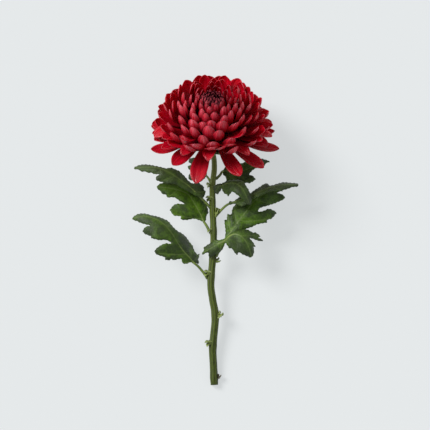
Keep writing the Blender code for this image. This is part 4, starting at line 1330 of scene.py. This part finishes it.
def down_finish():
    finish = Finish("down", 0.8)
    finish.set("Base Color", finish.mix(finish.speckle(300.0), STEM_FRESH, DOWN_COLOUR))
    return finish.material


stem_finishes = [stem_finish(), bract_green, cut_finish(), down_finish()]
print("the stem's finishes:", ", ".join(finish.name for finish in stem_finishes))

# %% [markdown]
# The stem put together.
#
# The tube comes first, with seven ribs that twist a little on their way up. Then follow the cut face on
# its first ring, the buds from the cut upwards, and the down.

# %% Building the stem
STEM_SIDES = 48
STEM_RIBS = 7
STEM_RIB_HEIGHT = 0.055
STEM_RIB_TWIST = 6.0
NODE_STAIN_SPREAD = 1.5 * NODE_SPREAD


def make_stem():
    stem = Gathering()
    line = stem_line()
    radii = [stem_radius(place) for place in line]

    def radius_at(step, turn):
        rib = STEM_RIB_HEIGHT * math.cos(STEM_RIBS * turn + STEM_RIB_TWIST * step / len(line))
        return radii[step] * (1.0 - STEM_RIB_HEIGHT + rib)

    points, faces, around, along = tube(line, radius_at, STEM_SIDES)
    steps = np.arange(len(line)).repeat(STEM_SIDES)
    nodes = [max(near_nodes(place, NODE_STAIN_SPREAD)) for place in line]
    marks = {
        "along": along,
        "rib": np.cos(STEM_RIBS * around + STEM_RIB_TWIST * steps / len(line)),
        "node": np.repeat(nodes, STEM_SIDES),
    }
    stem.add(points, faces, marks)
    add_cut(stem, points[:STEM_SIDES])
    chance = random.Random(RANDOM_SEED + 3)
    for n, (place, heading, size) in enumerate(BUD_PLACES):
        add_bud(stem, place, heading, size, 1.0 if n < DRIED_BUDS else 0.0, chance)
    add_down(stem, line, radii, chance)
    return stem.piece("stem_ribbed", stem_finishes, ["stem"])


make_stem()

# %% [markdown]
# The leaves.
#
# A chrysanthemum leaf is lobed and toothed, with a strong midrib that goes on from its stalk, the petiole.
# Each leaf of this flower is listed the way the solids list it: the petiole's points, and for each blade
# its midrib with heights, its outline seen from the front, and how steeply the blade falls away to the left
# and right of the midrib, at its base and at its tip. Two leaves have large lobes at their base, which are
# blades of their own. All lengths are in millimetres of the upright flower.

# %% The leaves' driving dimensions
PETIOLES = {
    "leaf_lower_left": ((-6, -39, -0.5), (-8.5, -35, 0.5), (-13.5, -29, 3)),
    "leaf_middle_left": ((-4.5, -1, -0.5), (-6.5, 3, -0.8), (-8.5, 6, -1)),
    "leaf_upper_left": ((-3.5, 17.5, 1), (-8, 22.5, 3.5), (-12.5, 27, 6.5)),
    "leaf_back_left": ((-2.5, 36, -0.5), (-5, 41, -4), (-7, 43.5, -6.5)),
    "leaf_lower_right": ((1, -21, 1), (4, -15, 5), (7, -10.5, 9)),
    "leaf_middle_right": ((-0.5, 10, 0.8), (5.5, 16.5, 4), (9.5, 20, 6.5)),
    "leaf_top_front": ((-0.5, 31.5, 1.5), (1, 33, 6), (3, 34, 10)),
    "leaf_back_right": ((1, 41, -0.5), (4, 44, -3.5), (5.5, 46.5, -6)),
}

# Leaf, fall to the left and right at the base and the tip, midrib, outline
BLADES = (
    ("leaf_lower_left", ((0.35, 0.15), (-1.6, -2.2)), (
        (-18, -25, 5), (-20, -22.5, 5.8), (-25, -17, 7.2), (-29, -11.5, 8.4), (-32.5, -5.5, 9.3),
        (-36, -0.5, 9.8), (-41, 5, 9.6), (-48, 9, 8.6), (-57, 11, 6.5), (-66, 9, 2.5),
    ), (
        (-13, -27), (-13.5, -24), (-12.5, -19.5), (-14.5, -19.5), (-17, -16), (-18, -13), (-21, -9),
        (-23.5, -5.5), (-27, -2.5), (-30.5, -0.5), (-34.5, 3.5), (-37.5, 7), (-41.5, 9), (-45.5, 10.5),
        (-52, 12), (-56, 13), (-60, 13), (-63, 12), (-66, 9), (-62, 7), (-60, 6), (-57, 5),
        (-51.5, 3.5), (-54.5, 3), (-57, 0.5), (-57.5, -1), (-56, -3), (-51, -5), (-50.5, -6.5),
        (-44, -8), (-39, -8), (-35, -10.5), (-39, -10.5), (-43, -12), (-46.5, -14.5), (-48, -17),
        (-46, -19.5), (-40, -21.5), (-39.5, -23.5), (-36.5, -24), (-34.5, -23), (-33, -24), (-27, -23),
        (-26, -26), (-23, -27), (-18, -25.5),
    )),
    ("leaf_middle_left", ((0.25, 0.1), (-0.5, -0.8)), (
        (-10, 9, -1), (-12, 13, -1.2), (-15, 18.5, -1.5), (-18.5, 24.5, -1.8), (-21.5, 28.5, -2),
        (-28, 31.5, -1.6), (-36, 33.5, -0.6), (-46.5, 34.5, 1),
    ), (
        (-8.5, 6.5), (-7, 9), (-7, 11), (-5.5, 13.5), (-5.5, 15.5), (-6.5, 19), (-9.5, 24), (-15, 31),
        (-23, 35.5), (-32, 38), (-39, 38), (-44, 37), (-46.5, 34.5), (-45.5, 32.5), (-43, 30.5),
        (-42.5, 29), (-39, 28), (-38, 26), (-32.5, 26), (-28, 23), (-25, 21), (-29.5, 21), (-33, 20),
        (-35, 17.5), (-36, 16), (-34.5, 13.5), (-32.5, 11.5), (-27.5, 11), (-27, 8.5), (-23, 8),
        (-20, 8.5), (-16.5, 9), (-13, 8),
    )),
    ("leaf_upper_left", ((0.5, 0.3), (-0.8, -2)), (
        (-16, 30.5, 9), (-21, 35, 11), (-26.5, 39, 12.8), (-32, 43, 14), (-39, 47, 14.8),
        (-46.5, 49.5, 14.6), (-55, 50, 13), (-64.5, 49, 10),
    ), (
        (-12, 26.5), (-9, 26), (-8.5, 27.5), (-7.5, 30.5), (-9, 32.5), (-9, 34.5), (-12, 37),
        (-15, 38.5), (-17.5, 37), (-21, 39), (-23.5, 42), (-25.5, 44), (-28.5, 47), (-31, 48),
        (-35, 49.5), (-39, 49), (-43, 50), (-48, 51), (-53.5, 52), (-58.5, 52), (-62, 51), (-64.5, 49),
        (-60.5, 48), (-58.5, 46.5), (-55, 46.5), (-53.5, 45.5), (-50.5, 45.5), (-48, 44.5), (-44, 44),
        (-46, 43), (-47, 40.5), (-45, 39), (-41.5, 38), (-37.5, 37), (-32, 37), (-27, 34), (-21.5, 31),
        (-16.5, 28),
    )),
    ("leaf_back_left", ((0.2, 0.2), (-0.6, -0.6)), (
        (-8, 45, -8), (-12, 48, -11), (-17, 50, -13.5), (-22, 50.5, -15),
    ), (
        (-7, 43), (-7, 47), (-10.5, 53.5), (-15, 58), (-18.5, 58), (-21, 57), (-21, 54.5), (-19, 53),
        (-22, 50.5), (-19.5, 47.5), (-20.5, 45), (-21.5, 42.5), (-20, 40), (-17, 40), (-13, 38),
        (-10.5, 39.5),
    )),
    ("leaf_lower_right", ((-0.5, -0.9), (0.15, -0.1)), (
        (8.5, -8, 10.5), (13, -1, 9), (18, 6, 8), (23, 12.5, 7), (27, 17.5, 6), (31, 23, 5),
        (37, 27.5, 3.5), (44, 31, 1), (53.5, 32, -3),
    ), (
        (7.5, -9), (8.5, -2), (7.5, 7.5), (9.5, 8.5), (10, 12.5), (13, 12.5), (14, 17), (17, 21),
        (22.5, 25), (28, 29), (33.5, 31.5), (41, 33.5), (48, 33.5), (53.5, 32), (54, 31), (50, 30),
        (53, 29), (56, 26), (53, 23.5), (47, 21), (42.5, 19.5), (34.5, 15.5), (42.5, 17), (45, 16.5),
        (49, 14), (47.5, 11.5), (45, 9), (41.5, 8), (41.5, 6), (33.5, 4.5), (29.5, 2.5), (25, 1),
        (18.5, -3), (11, -8.5),
    )),
    ("leaf_lower_right", ((-0.9, -0.9), (0.1, -0.2)), (
        (8.5, -8, 10.5), (13, -4, 13), (17.5, -3.5, 15.5), (22, -6, 17.5), (25.5, -11, 18),
        (27.5, -16, 16.5), (29, -21.5, 13.5),
    ), (
        (7, -9), (9, -6), (13.5, -2), (18.5, 0), (25, 0.5), (30, -2), (32.5, -2), (36, -5), (34.5, -6),
        (38, -8.5), (33, -8), (28, -6.5), (30, -9.5), (32, -13), (30.5, -13.5), (31, -17), (29, -21.5),
        (25, -20.5), (21.5, -19), (19, -17.5), (17.5, -19.5), (15, -17), (13.5, -14.5), (11.5, -14.5),
        (9, -11),
    )),
    ("leaf_lower_right", ((-0.1, -0.2), (-0.7, -0.5)), (
        (8.5, -8, 10.5), (5, -10, 10.5), (0, -12.5, 9.3), (-5, -15.5, 7.5), (-10.5, -19, 4.8),
    ), (
        (9, -7.5), (8, -10.5), (7, -13), (6.5, -14.5), (4, -17.5), (1.5, -19), (-1.5, -20.5),
        (-4.5, -22), (-5.5, -18), (-8.5, -19), (-10.5, -19.5), (-8.5, -15.5), (-9.5, -14.5),
        (-7, -12.5), (-3, -10), (0, -8), (4, -8), (7, -7),
    )),
    ("leaf_middle_right", ((-1.8, -2.2), (0.6, 0.5)), (
        (13, 22, 8.5), (20, 24, 11), (28, 27, 12.5), (37.5, 31.5, 13.5), (48, 35, 13), (57.5, 36, 11.5),
        (66.5, 36, 9),
    ), (
        (11, 20.5), (12, 23), (14.5, 22.5), (18.5, 25.5), (22.5, 27), (27, 28.5), (32, 32), (36, 34.5),
        (39, 36.5), (42, 37), (43, 35.5), (45.5, 35.5), (50.5, 37), (54.5, 38), (60, 37.5), (66.5, 36),
        (61, 34), (55, 32), (49.5, 31.5), (45, 31.5), (41, 30), (36, 27.5), (30.5, 25), (25.5, 21),
        (20.5, 19), (17, 21), (13, 20.5),
    )),
    ("leaf_top_front", ((-1.1, -0.9), (0.3, 0)), (
        (5.5, 35, 13), (8, 36.5, 15), (13, 37.5, 17.8), (17, 36.5, 20), (20.5, 34, 21.8),
        (23, 30.5, 22.5), (25, 26, 22), (27.5, 20.5, 20),
    ), (
        (3, 33.5), (5.5, 37), (8.5, 38.5), (11.5, 39.5), (16, 40), (20, 39.5), (23, 38), (24.5, 35),
        (26.5, 32), (28, 28), (29, 24), (28, 20.5), (25.5, 20.5), (23, 23.5), (20, 26), (18, 27.5),
        (14, 30.5), (12.5, 29.5), (10.5, 27), (9, 28.5), (7, 29.5), (5.5, 32.5), (4.5, 33),
    )),
    ("leaf_top_front", ((0, 0), (-0.4, -0.3)), (
        (5.5, 35, 13), (3, 34, 11.5), (0.5, 31, 8),
    ), (
        (6, 36), (5.5, 33.5), (4.5, 31.5), (3, 29.5), (2, 28.5), (0, 29.5), (-1, 31.5), (-1.5, 34.5),
        (1, 36), (3.5, 37),
    )),
    ("leaf_back_right", ((-0.5, -0.5), (0.15, 0.1)), (
        (7, 47.5, -8), (14.5, 46.5, -10), (22.5, 47.5, -11.5), (32, 51.5, -12.5), (44, 55, -15),
    ), (
        (6, 45.5), (7, 49), (12, 53.5), (17.5, 55), (21, 53.5), (23.5, 54.5), (28, 56), (33, 56.5),
        (37, 57.5), (41, 56.5), (44, 55), (41.5, 54), (39.5, 51.5), (36, 51), (31, 48.5), (27.5, 44.5),
        (29.5, 44), (32.5, 41), (30.5, 39), (27.5, 37.5), (25, 38), (21.5, 36), (16, 37), (11, 34.5),
        (8.5, 37), (9, 41.5),
    )),
)

print("leaves:", len(PETIOLES), "with", len(BLADES), "blades")

# %% [markdown]
# Reading a blade.
#
# The outline's points mark lobes, notches and teeth, so the curve through them may not round those off: its
# tangents are kept as short as the nearer neighbour allows. A side vein runs to the tip of every lobe, and
# a lobe's tip is simply a place on the outline that is farther from the midrib than its neighbours are.
# Each vein leaves the midrib well before the lobe and bends towards the leaf's tip. The fine teeth are
# added to the outline last, as a sawtooth of half a millimetre.

# %% Outlines and veins
EDGE_STEP = 0.6
TOOTH_LENGTH = 3.0
TOOTH_HEIGHT = 0.50
RIB_SAMPLES = 24
LOBE_WINDOW = 7
LOBE_LEAST = 3.0
VEIN_BACK = 0.75
VEIN_BOW = 0.10
VEIN_REACH = 0.94
VEIN_STEP = 1.5


def array_of(points):
    """The points as an array, one to a row."""
    return np.array([tuple(p) for p in points])


def looped(points):
    """Each point of a closed line with the one after it."""
    return zip(points, [*points[1:], points[0]])


def smooth_loop(points):
    """A closed curve through the points that keeps their corners fairly sharp."""
    loop = [Vector(p) for p in points]
    pulls = []
    for i, p in enumerate(loop):
        before = loop[i - 1]
        after = loop[(i + 1) % len(loop)]
        pulls.append((after - before).normalized() * min((p - before).length, (after - p).length))
    curve = []
    for i, p in enumerate(loop):
        j = (i + 1) % len(loop)
        steps = max(2, round((loop[j] - p).length / EDGE_STEP))
        for k in range(steps):
            t = k / steps
            ends = p * (2 * t**3 - 3 * t * t + 1) + loop[j] * (3 * t * t - 2 * t**3)
            curve.append(ends + pulls[i] * (t**3 - 2 * t * t + t) + pulls[j] * (t**3 - t * t))
    return curve


def toothed(curve):
    """The same closed curve with small teeth that point outwards."""
    area = sum(a.x * b.y - b.x * a.y for a, b in looped(curve))
    outward = 1.0 if area > 0 else -1.0
    teeth = []
    gone = 0.0
    for i, p in enumerate(curve):
        heading = (curve[(i + 1) % len(curve)] - curve[i - 1]).normalized()
        tooth = (gone / TOOTH_LENGTH) % 1.0
        teeth.append(p + Vector((heading.y, -heading.x)) * outward * TOOTH_HEIGHT * (tooth - 0.5))
        gone += (curve[(i + 1) % len(curve)] - p).length
    return teeth


def inside(spots, loop):
    """For each of the flat spots, whether it lies inside the closed outline."""
    odd = np.zeros(len(spots), bool)
    for a, b in looped(loop):
        if a.y != b.y:
            spans = (a.y > spots[:, 1]) != (b.y > spots[:, 1])
            odd ^= spans & (spots[:, 0] < a.x + (spots[:, 1] - a.y) / (b.y - a.y) * (b.x - a.x))
    return odd


def distance_to(spots, segments):
    """For each of the flat spots, how far the nearest of the segments is."""
    spots = np.asarray(spots)[:, None]
    starts = np.array([a for a, b in segments])[None]
    runs = np.array([b for a, b in segments])[None] - starts
    share = ((spots - starts) * runs).sum(2) / np.maximum((runs * runs).sum(2), 1e-9)
    nearest = starts + runs * np.clip(share, 0.0, 1.0)[..., None]
    return np.linalg.norm(spots - nearest, axis=2).min(1)


def side_veins(loop, ribs):
    """A vein from the midrib to every lobe of the blade, as lists of flat points."""
    flat_ribs = [rib.xy for rib in ribs]
    reach = [min((rib - p).length for rib in flat_ribs) for p in loop]
    veins = []
    for i, tip in enumerate(loop):
        window = [reach[(i + k) % len(loop)] for k in range(-LOBE_WINDOW, LOBE_WINDOW + 1)]
        if reach[i] < LOBE_LEAST or reach[i] < max(window):
            continue
        near = min(range(len(ribs)), key=lambda k: (flat_ribs[k] - tip).length)
        while near > 0 and (flat_ribs[near] - tip).length < reach[i] * math.hypot(1.0, VEIN_BACK):
            near -= 1
        start = flat_ribs[near]
        heading = (flat_ribs[min(near + 1, len(ribs) - 1)] - flat_ribs[max(near - 1, 0)]).normalized()
        end = start.lerp(tip, VEIN_REACH)
        control = start.lerp(end, 0.5) - heading * VEIN_BOW * (end - start).length
        steps = max(3, round((end - start).length / VEIN_STEP))
        vein = []
        for k in range(steps + 1):
            t = k / steps
            vein.append(start * (1 - t) ** 2 + control * 2 * t * (1 - t) + end * t * t)
        if inside(array_of(vein[1:]), loop).all():
            veins.append(vein)
    return veins


_, _, midrib, edge = BLADES[0]
trial = side_veins(smooth_loop(edge), smooth_line(midrib, RIB_SAMPLES))
print("the first blade has", len(trial), "side veins")

# %% [markdown]
# The surface of a blade.
#
# The solids say how deep the blade lies at any place: the midrib's depths count most where it is near, and
# the blade falls off to either side. A living leaf is not that smooth. Between the veins it bulges like a
# quilt, and near its edge it waves. Both are added to the depth as formulas of the distance to the nearest
# vein and to the edge.

# %% Depth, quilting and waves
QUILT_HEIGHT = 1.10
QUILT_WIDTH = 1.7
WAVE_HEIGHT = 1.5
WAVE_LENGTH = 9.0
WAVE_REACH = 4.0
RIB_SOFTNESS = 0.6
RIB_NEARNESS = -4
SLOPE_STEP = 0.6


def blade_depth(fall, ribs, spots):
    """The solids' depth of the blade at each of the flat spots."""
    rib_places = array_of(ribs)
    headings = array_of(tangents(ribs))
    run = spots[:, None] - rib_places[None, :, :2]
    weight = ((run * run).sum(2) + RIB_SOFTNESS) ** RIB_NEARNESS
    aside = headings[None, :, 0] * run[..., 1] - headings[None, :, 1] * run[..., 0]
    aside /= np.hypot(headings[:, 0], headings[:, 1])[None]
    share = np.arange(len(ribs)) / (len(ribs) - 1)
    left, right = (base + (tip - base) * share for base, tip in fall)
    slope = np.where(aside > 0, left[None], right[None])
    return (weight * (rib_places[None, :, 2] + slope * np.abs(aside))).sum(1) / weight.sum(1)


def blade_normals(fall, ribs, spots):
    """The direction that the blade's upper side faces at each of the flat spots."""
    slopes = []
    for shift in ((SLOPE_STEP, 0.0), (0.0, SLOPE_STEP)):
        ahead = blade_depth(fall, ribs, spots + np.array(shift))
        behind = blade_depth(fall, ribs, spots - np.array(shift))
        slopes.append((ahead - behind) / (2 * SLOPE_STEP))
    normals = np.stack([-slopes[0], -slopes[1], np.ones(len(spots))], axis=1)
    return normals / np.linalg.norm(normals, axis=1)[:, None]


def waves(spots, seed):
    """Smooth noise from about -1 to 1 at each of the flat spots."""
    return np.array([noise.noise(Vector((x / WAVE_LENGTH, y / WAVE_LENGTH, seed))) * 2.0 for x, y in spots])


trial = waves(np.array([(x, 0.0) for x in range(60)]), 0.0)
print("waves run from", round(float(trial.min()), 2), "to", round(float(trial.max()), 2))

# %% [markdown]
# The mesh of a blade.
#
# A triangulation takes the outline, the midrib and the veins as edges that it has to keep, and an even
# grid of spots in between. That way the creases lie on mesh edges and stay sharp. The blade gets an upper
# and a lower skin, and on the lower one the veins stand out.
#
# Some leaves of the flower, the tips of the blades and the lobes at a leaf's base get a grey-green painted
# sheen. A mark carries its share to the leaf's finish.

# %% Building a blade
LEAF_GRID = 1.25
GRID_ROW = 0.87
GRID_CLEARANCE = 0.62
LEAF_SKIN = 0.40
VEIN_RAISED = 0.22
VEIN_HALF_WIDTH = 0.5
MERGE_WITHIN = 1e-4
KEEP_INSIDE = 1
SHEEN_TIP = 0.5


def blade_plan(loop, ribs, veins):
    """Flat points and triangles of a blade, with its outline, midrib and veins as edges."""
    points = list(loop)
    lines = [(i, (i + 1) % len(loop)) for i in range(len(loop))]
    for line in ([rib.xy for rib in ribs[1:-1]], *veins):
        for k, p in enumerate(line):
            if k:
                lines.append((len(points) - 1, len(points)))
            points.append(p)
    fixed = array_of(points)
    low = fixed.min(0)
    high = fixed.max(0)
    grid = []
    row = 0
    while low[1] + row * LEAF_GRID * GRID_ROW < high[1]:
        shift = 0.5 * LEAF_GRID * (row % 2)
        for x in np.arange(low[0] + shift, high[0], LEAF_GRID):
            grid.append((x, low[1] + row * LEAF_GRID * GRID_ROW))
        row += 1
    grid = np.array(grid)
    grid = grid[inside(grid, loop)]
    clear = np.linalg.norm(grid[:, None] - fixed[None], axis=2).min(1) > GRID_CLEARANCE
    points += [Vector(p) for p in grid[clear]]
    outline = [list(range(len(loop)))]
    made = geometry.delaunay_2d_cdt(points, lines, outline, KEEP_INSIDE, MERGE_WITHIN)
    return array_of(made[0]), made[2]


def skins_faces(triangles, count):
    """The faces of two skins of count points each, and of the edge between them."""
    faces = []
    border = set()
    for a, b, c in triangles:
        faces += [(a, b, c), (a + count, c + count, b + count)]
        for edge in ((a, b), (b, c), (c, a)):
            if edge[::-1] in border:
                border.remove(edge[::-1])
            else:
                border.add(edge)
    return faces + [(b, a, a + count, b + count) for a, b in sorted(border)]


def add_blade(leaf, fall, ribs, edge, seed, dull):
    """Adds the blade's two skins and the edge between them, and returns how many side veins it has."""
    loop = smooth_loop(edge)
    veins = side_veins(loop, ribs)
    loop = toothed(loop)
    spots, triangles = blade_plan(loop, ribs, veins)
    rib_segments = [(tuple(a.xy), tuple(b.xy)) for a, b in zip(ribs, ribs[1:])]
    vein_segments = [(tuple(a), tuple(b)) for vein in veins for a, b in zip(vein, vein[1:])]
    edge_segments = [(tuple(a), tuple(b)) for a, b in looped(loop)]
    from_rib = distance_to(spots, rib_segments)
    from_vein = distance_to(spots, rib_segments + vein_segments)
    from_edge = distance_to(spots, edge_segments)
    quilt = QUILT_HEIGHT * (1.0 - np.exp(-((from_vein / QUILT_WIDTH) ** 2))) * (1.0 - np.exp(-from_edge))
    loose = np.exp(-from_edge / WAVE_REACH) * (1.0 - np.exp(-from_rib / WAVE_REACH))
    depth = blade_depth(fall, ribs, spots) + quilt + WAVE_HEIGHT * loose * waves(spots, seed)
    normals = blade_normals(fall, ribs, spots)
    middle = np.column_stack([spots, depth])
    raised = VEIN_RAISED * np.exp(-((from_vein / VEIN_HALF_WIDTH) ** 2))[:, None]
    upper = middle + normals * LEAF_SKIN / 2
    lower = middle - normals * (LEAF_SKIN / 2 + raised)
    from_base = np.linalg.norm(spots - np.array(ribs[0].xy), axis=1)
    # The painted sheen grows towards the blade's tip
    dull = dull + SHEEN_TIP * (from_base / from_base.max()) ** 2
    marks = {
        "dull": np.tile(dull, 2),
        "vein": np.tile(from_vein, 2),
        "rib": np.tile(from_rib, 2),
        "under": np.repeat([0.0, 1.0], len(spots)),
        "tint": seed % 1.0,
    }
    leaf.add(np.concatenate([upper, lower]) * MM, skins_faces(triangles, len(spots)), marks)
    return len(veins)


print("a square of two triangles gets", len(skins_faces([(0, 1, 2), (0, 2, 3)], 4)), "faces")

# %% [markdown]
# The petiole and the midrib.
#
# The petiole is a tube with a groove on top. It goes on under the blade as the midrib and thins out towards
# the tip. A lobe at the base has only the midrib.

# %% Building a midrib
PETIOLE_NUMBER = 1
PETIOLE_RADIUS = 1.20
PETIOLE_SIDES = 14
PETIOLE_STEPS = 46
PETIOLE_GROOVE = 0.30
GROOVE_TURN = math.pi / 2
GROOVE_SPREAD = 0.55
RIB_TAPER = 0.82
RIB_TAPER_POWER = 0.8
RIB_SINK = 0.45


def add_rib(leaf, fall, ribs, petiole):
    """The petiole, where one is given, and the midrib under the blade as one tapering, grooved tube."""
    normals = blade_normals(fall, ribs, array_of(ribs)[:, :2])
    sunk = [rib - Vector(normal) * RIB_SINK for rib, normal in zip(ribs, normals)]
    line = smooth_line([Vector(p) * MM for p in (*petiole, *sunk[:-1])], PETIOLE_STEPS)

    def radius_at(step, turn):
        radius = PETIOLE_RADIUS * MM * (1.0 - RIB_TAPER * (step / PETIOLE_STEPS) ** RIB_TAPER_POWER)
        return radius * (1.0 - PETIOLE_GROOVE * math.exp(-(((turn - GROOVE_TURN) / GROOVE_SPREAD) ** 2)))

    points, faces, around, _ = tube(line, radius_at, PETIOLE_SIDES)
    leaf.add(points, faces, {"around": around}, PETIOLE_NUMBER)


print("at its tip a midrib is", round(2 * PETIOLE_RADIUS * (1.0 - RIB_TAPER), 2), "mm thick")

# %% [markdown]
# The green of the leaves.
#
# The upper side is dark and slightly glossy, brighter near the veins, which are thin pale lines. Patches
# and a fine grain break up the green, and a net of smaller veins gives it a pebbled look, with painted
# shade in the net's creases. Where a leaf has its grey-green painted sheen, its green is greyer and its
# veins fade. The lower side is grey-green, with paler veins. The petiole is a yellower green with darker
# streaks, and clearest in its groove.

# %% The leaf finishes
# Painted shade: the dark green in the creases of the net of small veins
LEAF_NET_SHADE = (0.006, 0.013, 0.002, 1.0)
LEAF_GREEN = (0.027, 0.057, 0.004, 1.0)
LEAF_BRIGHT = (0.092, 0.190, 0.006, 1.0)
# Painted sheen: the grey-green that the leaves' sheen gives
LEAF_SHEEN_GREY = (0.050, 0.064, 0.031, 1.0)
LEAF_VEIN = (0.150, 0.205, 0.060, 1.0)
LEAF_UNDER = (0.110, 0.170, 0.080, 1.0)
LEAF_UNDER_VEIN = (0.220, 0.290, 0.130, 1.0)
PETIOLE_GREEN = (0.190, 0.255, 0.042, 1.0)
PETIOLE_DARK = (0.075, 0.115, 0.018, 1.0)


def leaf_finish():
    finish = Finish("leaf_green", 0.42, 0.26)
    vein, rib, under, tint, sheen_mark = finish.marks("vein rib under tint dull")
    patches = finish.speckle(110.0, 6.0)
    place = finish.node("TexCoord", {}, {}, "Object")
    cells = {"feature": "DISTANCE_TO_EDGE"}
    net = finish.node("TexVoronoi", cells, {"Vector": place, "Scale": 760.0})
    grain = finish.speckle(420.0, 3.0)
    # How near the veins are: their lines, the midrib's line, and the brighter green beside them
    line = 1.0 - finish.ramp(vein, 0.10, 0.62)
    middle = 1.0 - finish.ramp(rib, 0.2, 0.65)
    near = 1.0 - finish.ramp(vein, 0.3, 3.0)
    inner = 1.0 - finish.ramp(rib, 1.0, 9.0)
    lit = near * 0.30 + inner * 0.22 + finish.ramp(patches, 0.38, 0.62) * 0.60 - 0.18 + tint * 0.12
    lit = lit + (grain - 0.5) * 1.6
    colour = finish.mix(lit.clipped(), LEAF_GREEN, LEAF_BRIGHT)
    dull = (sheen_mark * 0.75 + (0.5 - patches) * 0.6).clipped()
    # Painted sheen: greyer where a leaf has its sheen, and in some patches
    colour = finish.mix(dull, colour, LEAF_SHEEN_GREY)
    # Painted shade in the creases of the net of small veins
    colour = finish.mix((1.0 - finish.ramp(net, 0.0, 0.22)) * 0.35, colour, LEAF_NET_SHADE)
    pale = (line * 0.40 + middle * 0.28) * (1.0 - 0.7 * dull)
    colour = finish.mix(pale.clipped(), colour, LEAF_VEIN)
    # The lower side, and the pebbles of both
    below = finish.mix(line, LEAF_UNDER, LEAF_UNDER_VEIN)
    finish.set("Base Color", finish.mix(under, colour, below))
    finish.set("Roughness", (0.36 + 0.22 * patches + 0.25 * under).clipped())
    finish.relief(finish.ramp(net, 0.0, 0.3) * 0.6 + patches * 2.5 + grain * 1.2, 0.5, 0.0004)
    return finish.material


def petiole_finish():
    finish = Finish("petiole_green", 0.5)
    streaks = finish.speckle(260.0, 2.0)
    groove = 1.0 - finish.ramp((finish.mark("around") - GROOVE_TURN) ** 2.0, 0.0, 0.5)
    colour = finish.mix(finish.ramp(streaks, 0.35, 0.7), PETIOLE_DARK, PETIOLE_GREEN)
    finish.set("Base Color", finish.mix(groove * 0.5, colour, PETIOLE_GREEN))
    finish.relief(streaks, 0.3, 0.0003)
    return finish.material


leaf_finishes = [leaf_finish(), petiole_finish()]
print("the leaf finish has", len(leaf_finishes[0].node_tree.nodes), "nodes")

# %% [markdown]
# The leaves put together.
#
# Each leaf is its blades and their midribs, the first of which goes on from the petiole. The seed of a
# blade decides its waves and a small shift of its green.

# %% Building the leaves
# Shares of grey-green painted sheen: for the lobes at a leaf's base, and for whole leaves
SHEEN_LOBE = 0.45
SHEEN_LEAVES = {
    "leaf_lower_left": 0.25,
    "leaf_upper_left": 0.70,
    "leaf_top_front": 0.55,
    "leaf_middle_right": 0.75,
    "leaf_back_left": 0.30,
    "leaf_back_right": 0.40,
}
LEAF_SEED_STEP = 3.7
BLADE_SEED_STEP = 1.3


def make_leaf(number, name):
    leaf = Gathering()
    veins = 0
    blades = [blade for blade in BLADES if blade[0] == name]
    for k, (_, fall, midrib, edge) in enumerate(blades):
        ribs = smooth_line(midrib, RIB_SAMPLES)
        # Each blade's share of the painted sheen
        dull = SHEEN_LEAVES.get(name, 0.0) + (SHEEN_LOBE if k else 0.0)
        seed = LEAF_SEED_STEP * number + BLADE_SEED_STEP * k
        veins += add_blade(leaf, fall, ribs, edge, seed, dull)
        add_rib(leaf, fall, ribs, () if k else PETIOLES[name])
    print(name, "has", veins, "side veins")
    return leaf.piece(f"{name}_veined", leaf_finishes, [name])


for number, name in enumerate(PETIOLES):
    make_leaf(number, name)

# %% [markdown]
# Measuring the dressed flower.
#
# The finer pieces have to fill the solids' box to within a millimetre or two, or the flower would have
# changed its size. The box of the dressed pieces is printed, axis by axis.

# %% Measure the dressed flower
dressed_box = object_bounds()
for side, low, high in zip("XYZ", *dressed_box):
    print(f"{side} from {1000 * low:.1f} to {1000 * high:.1f} mm")
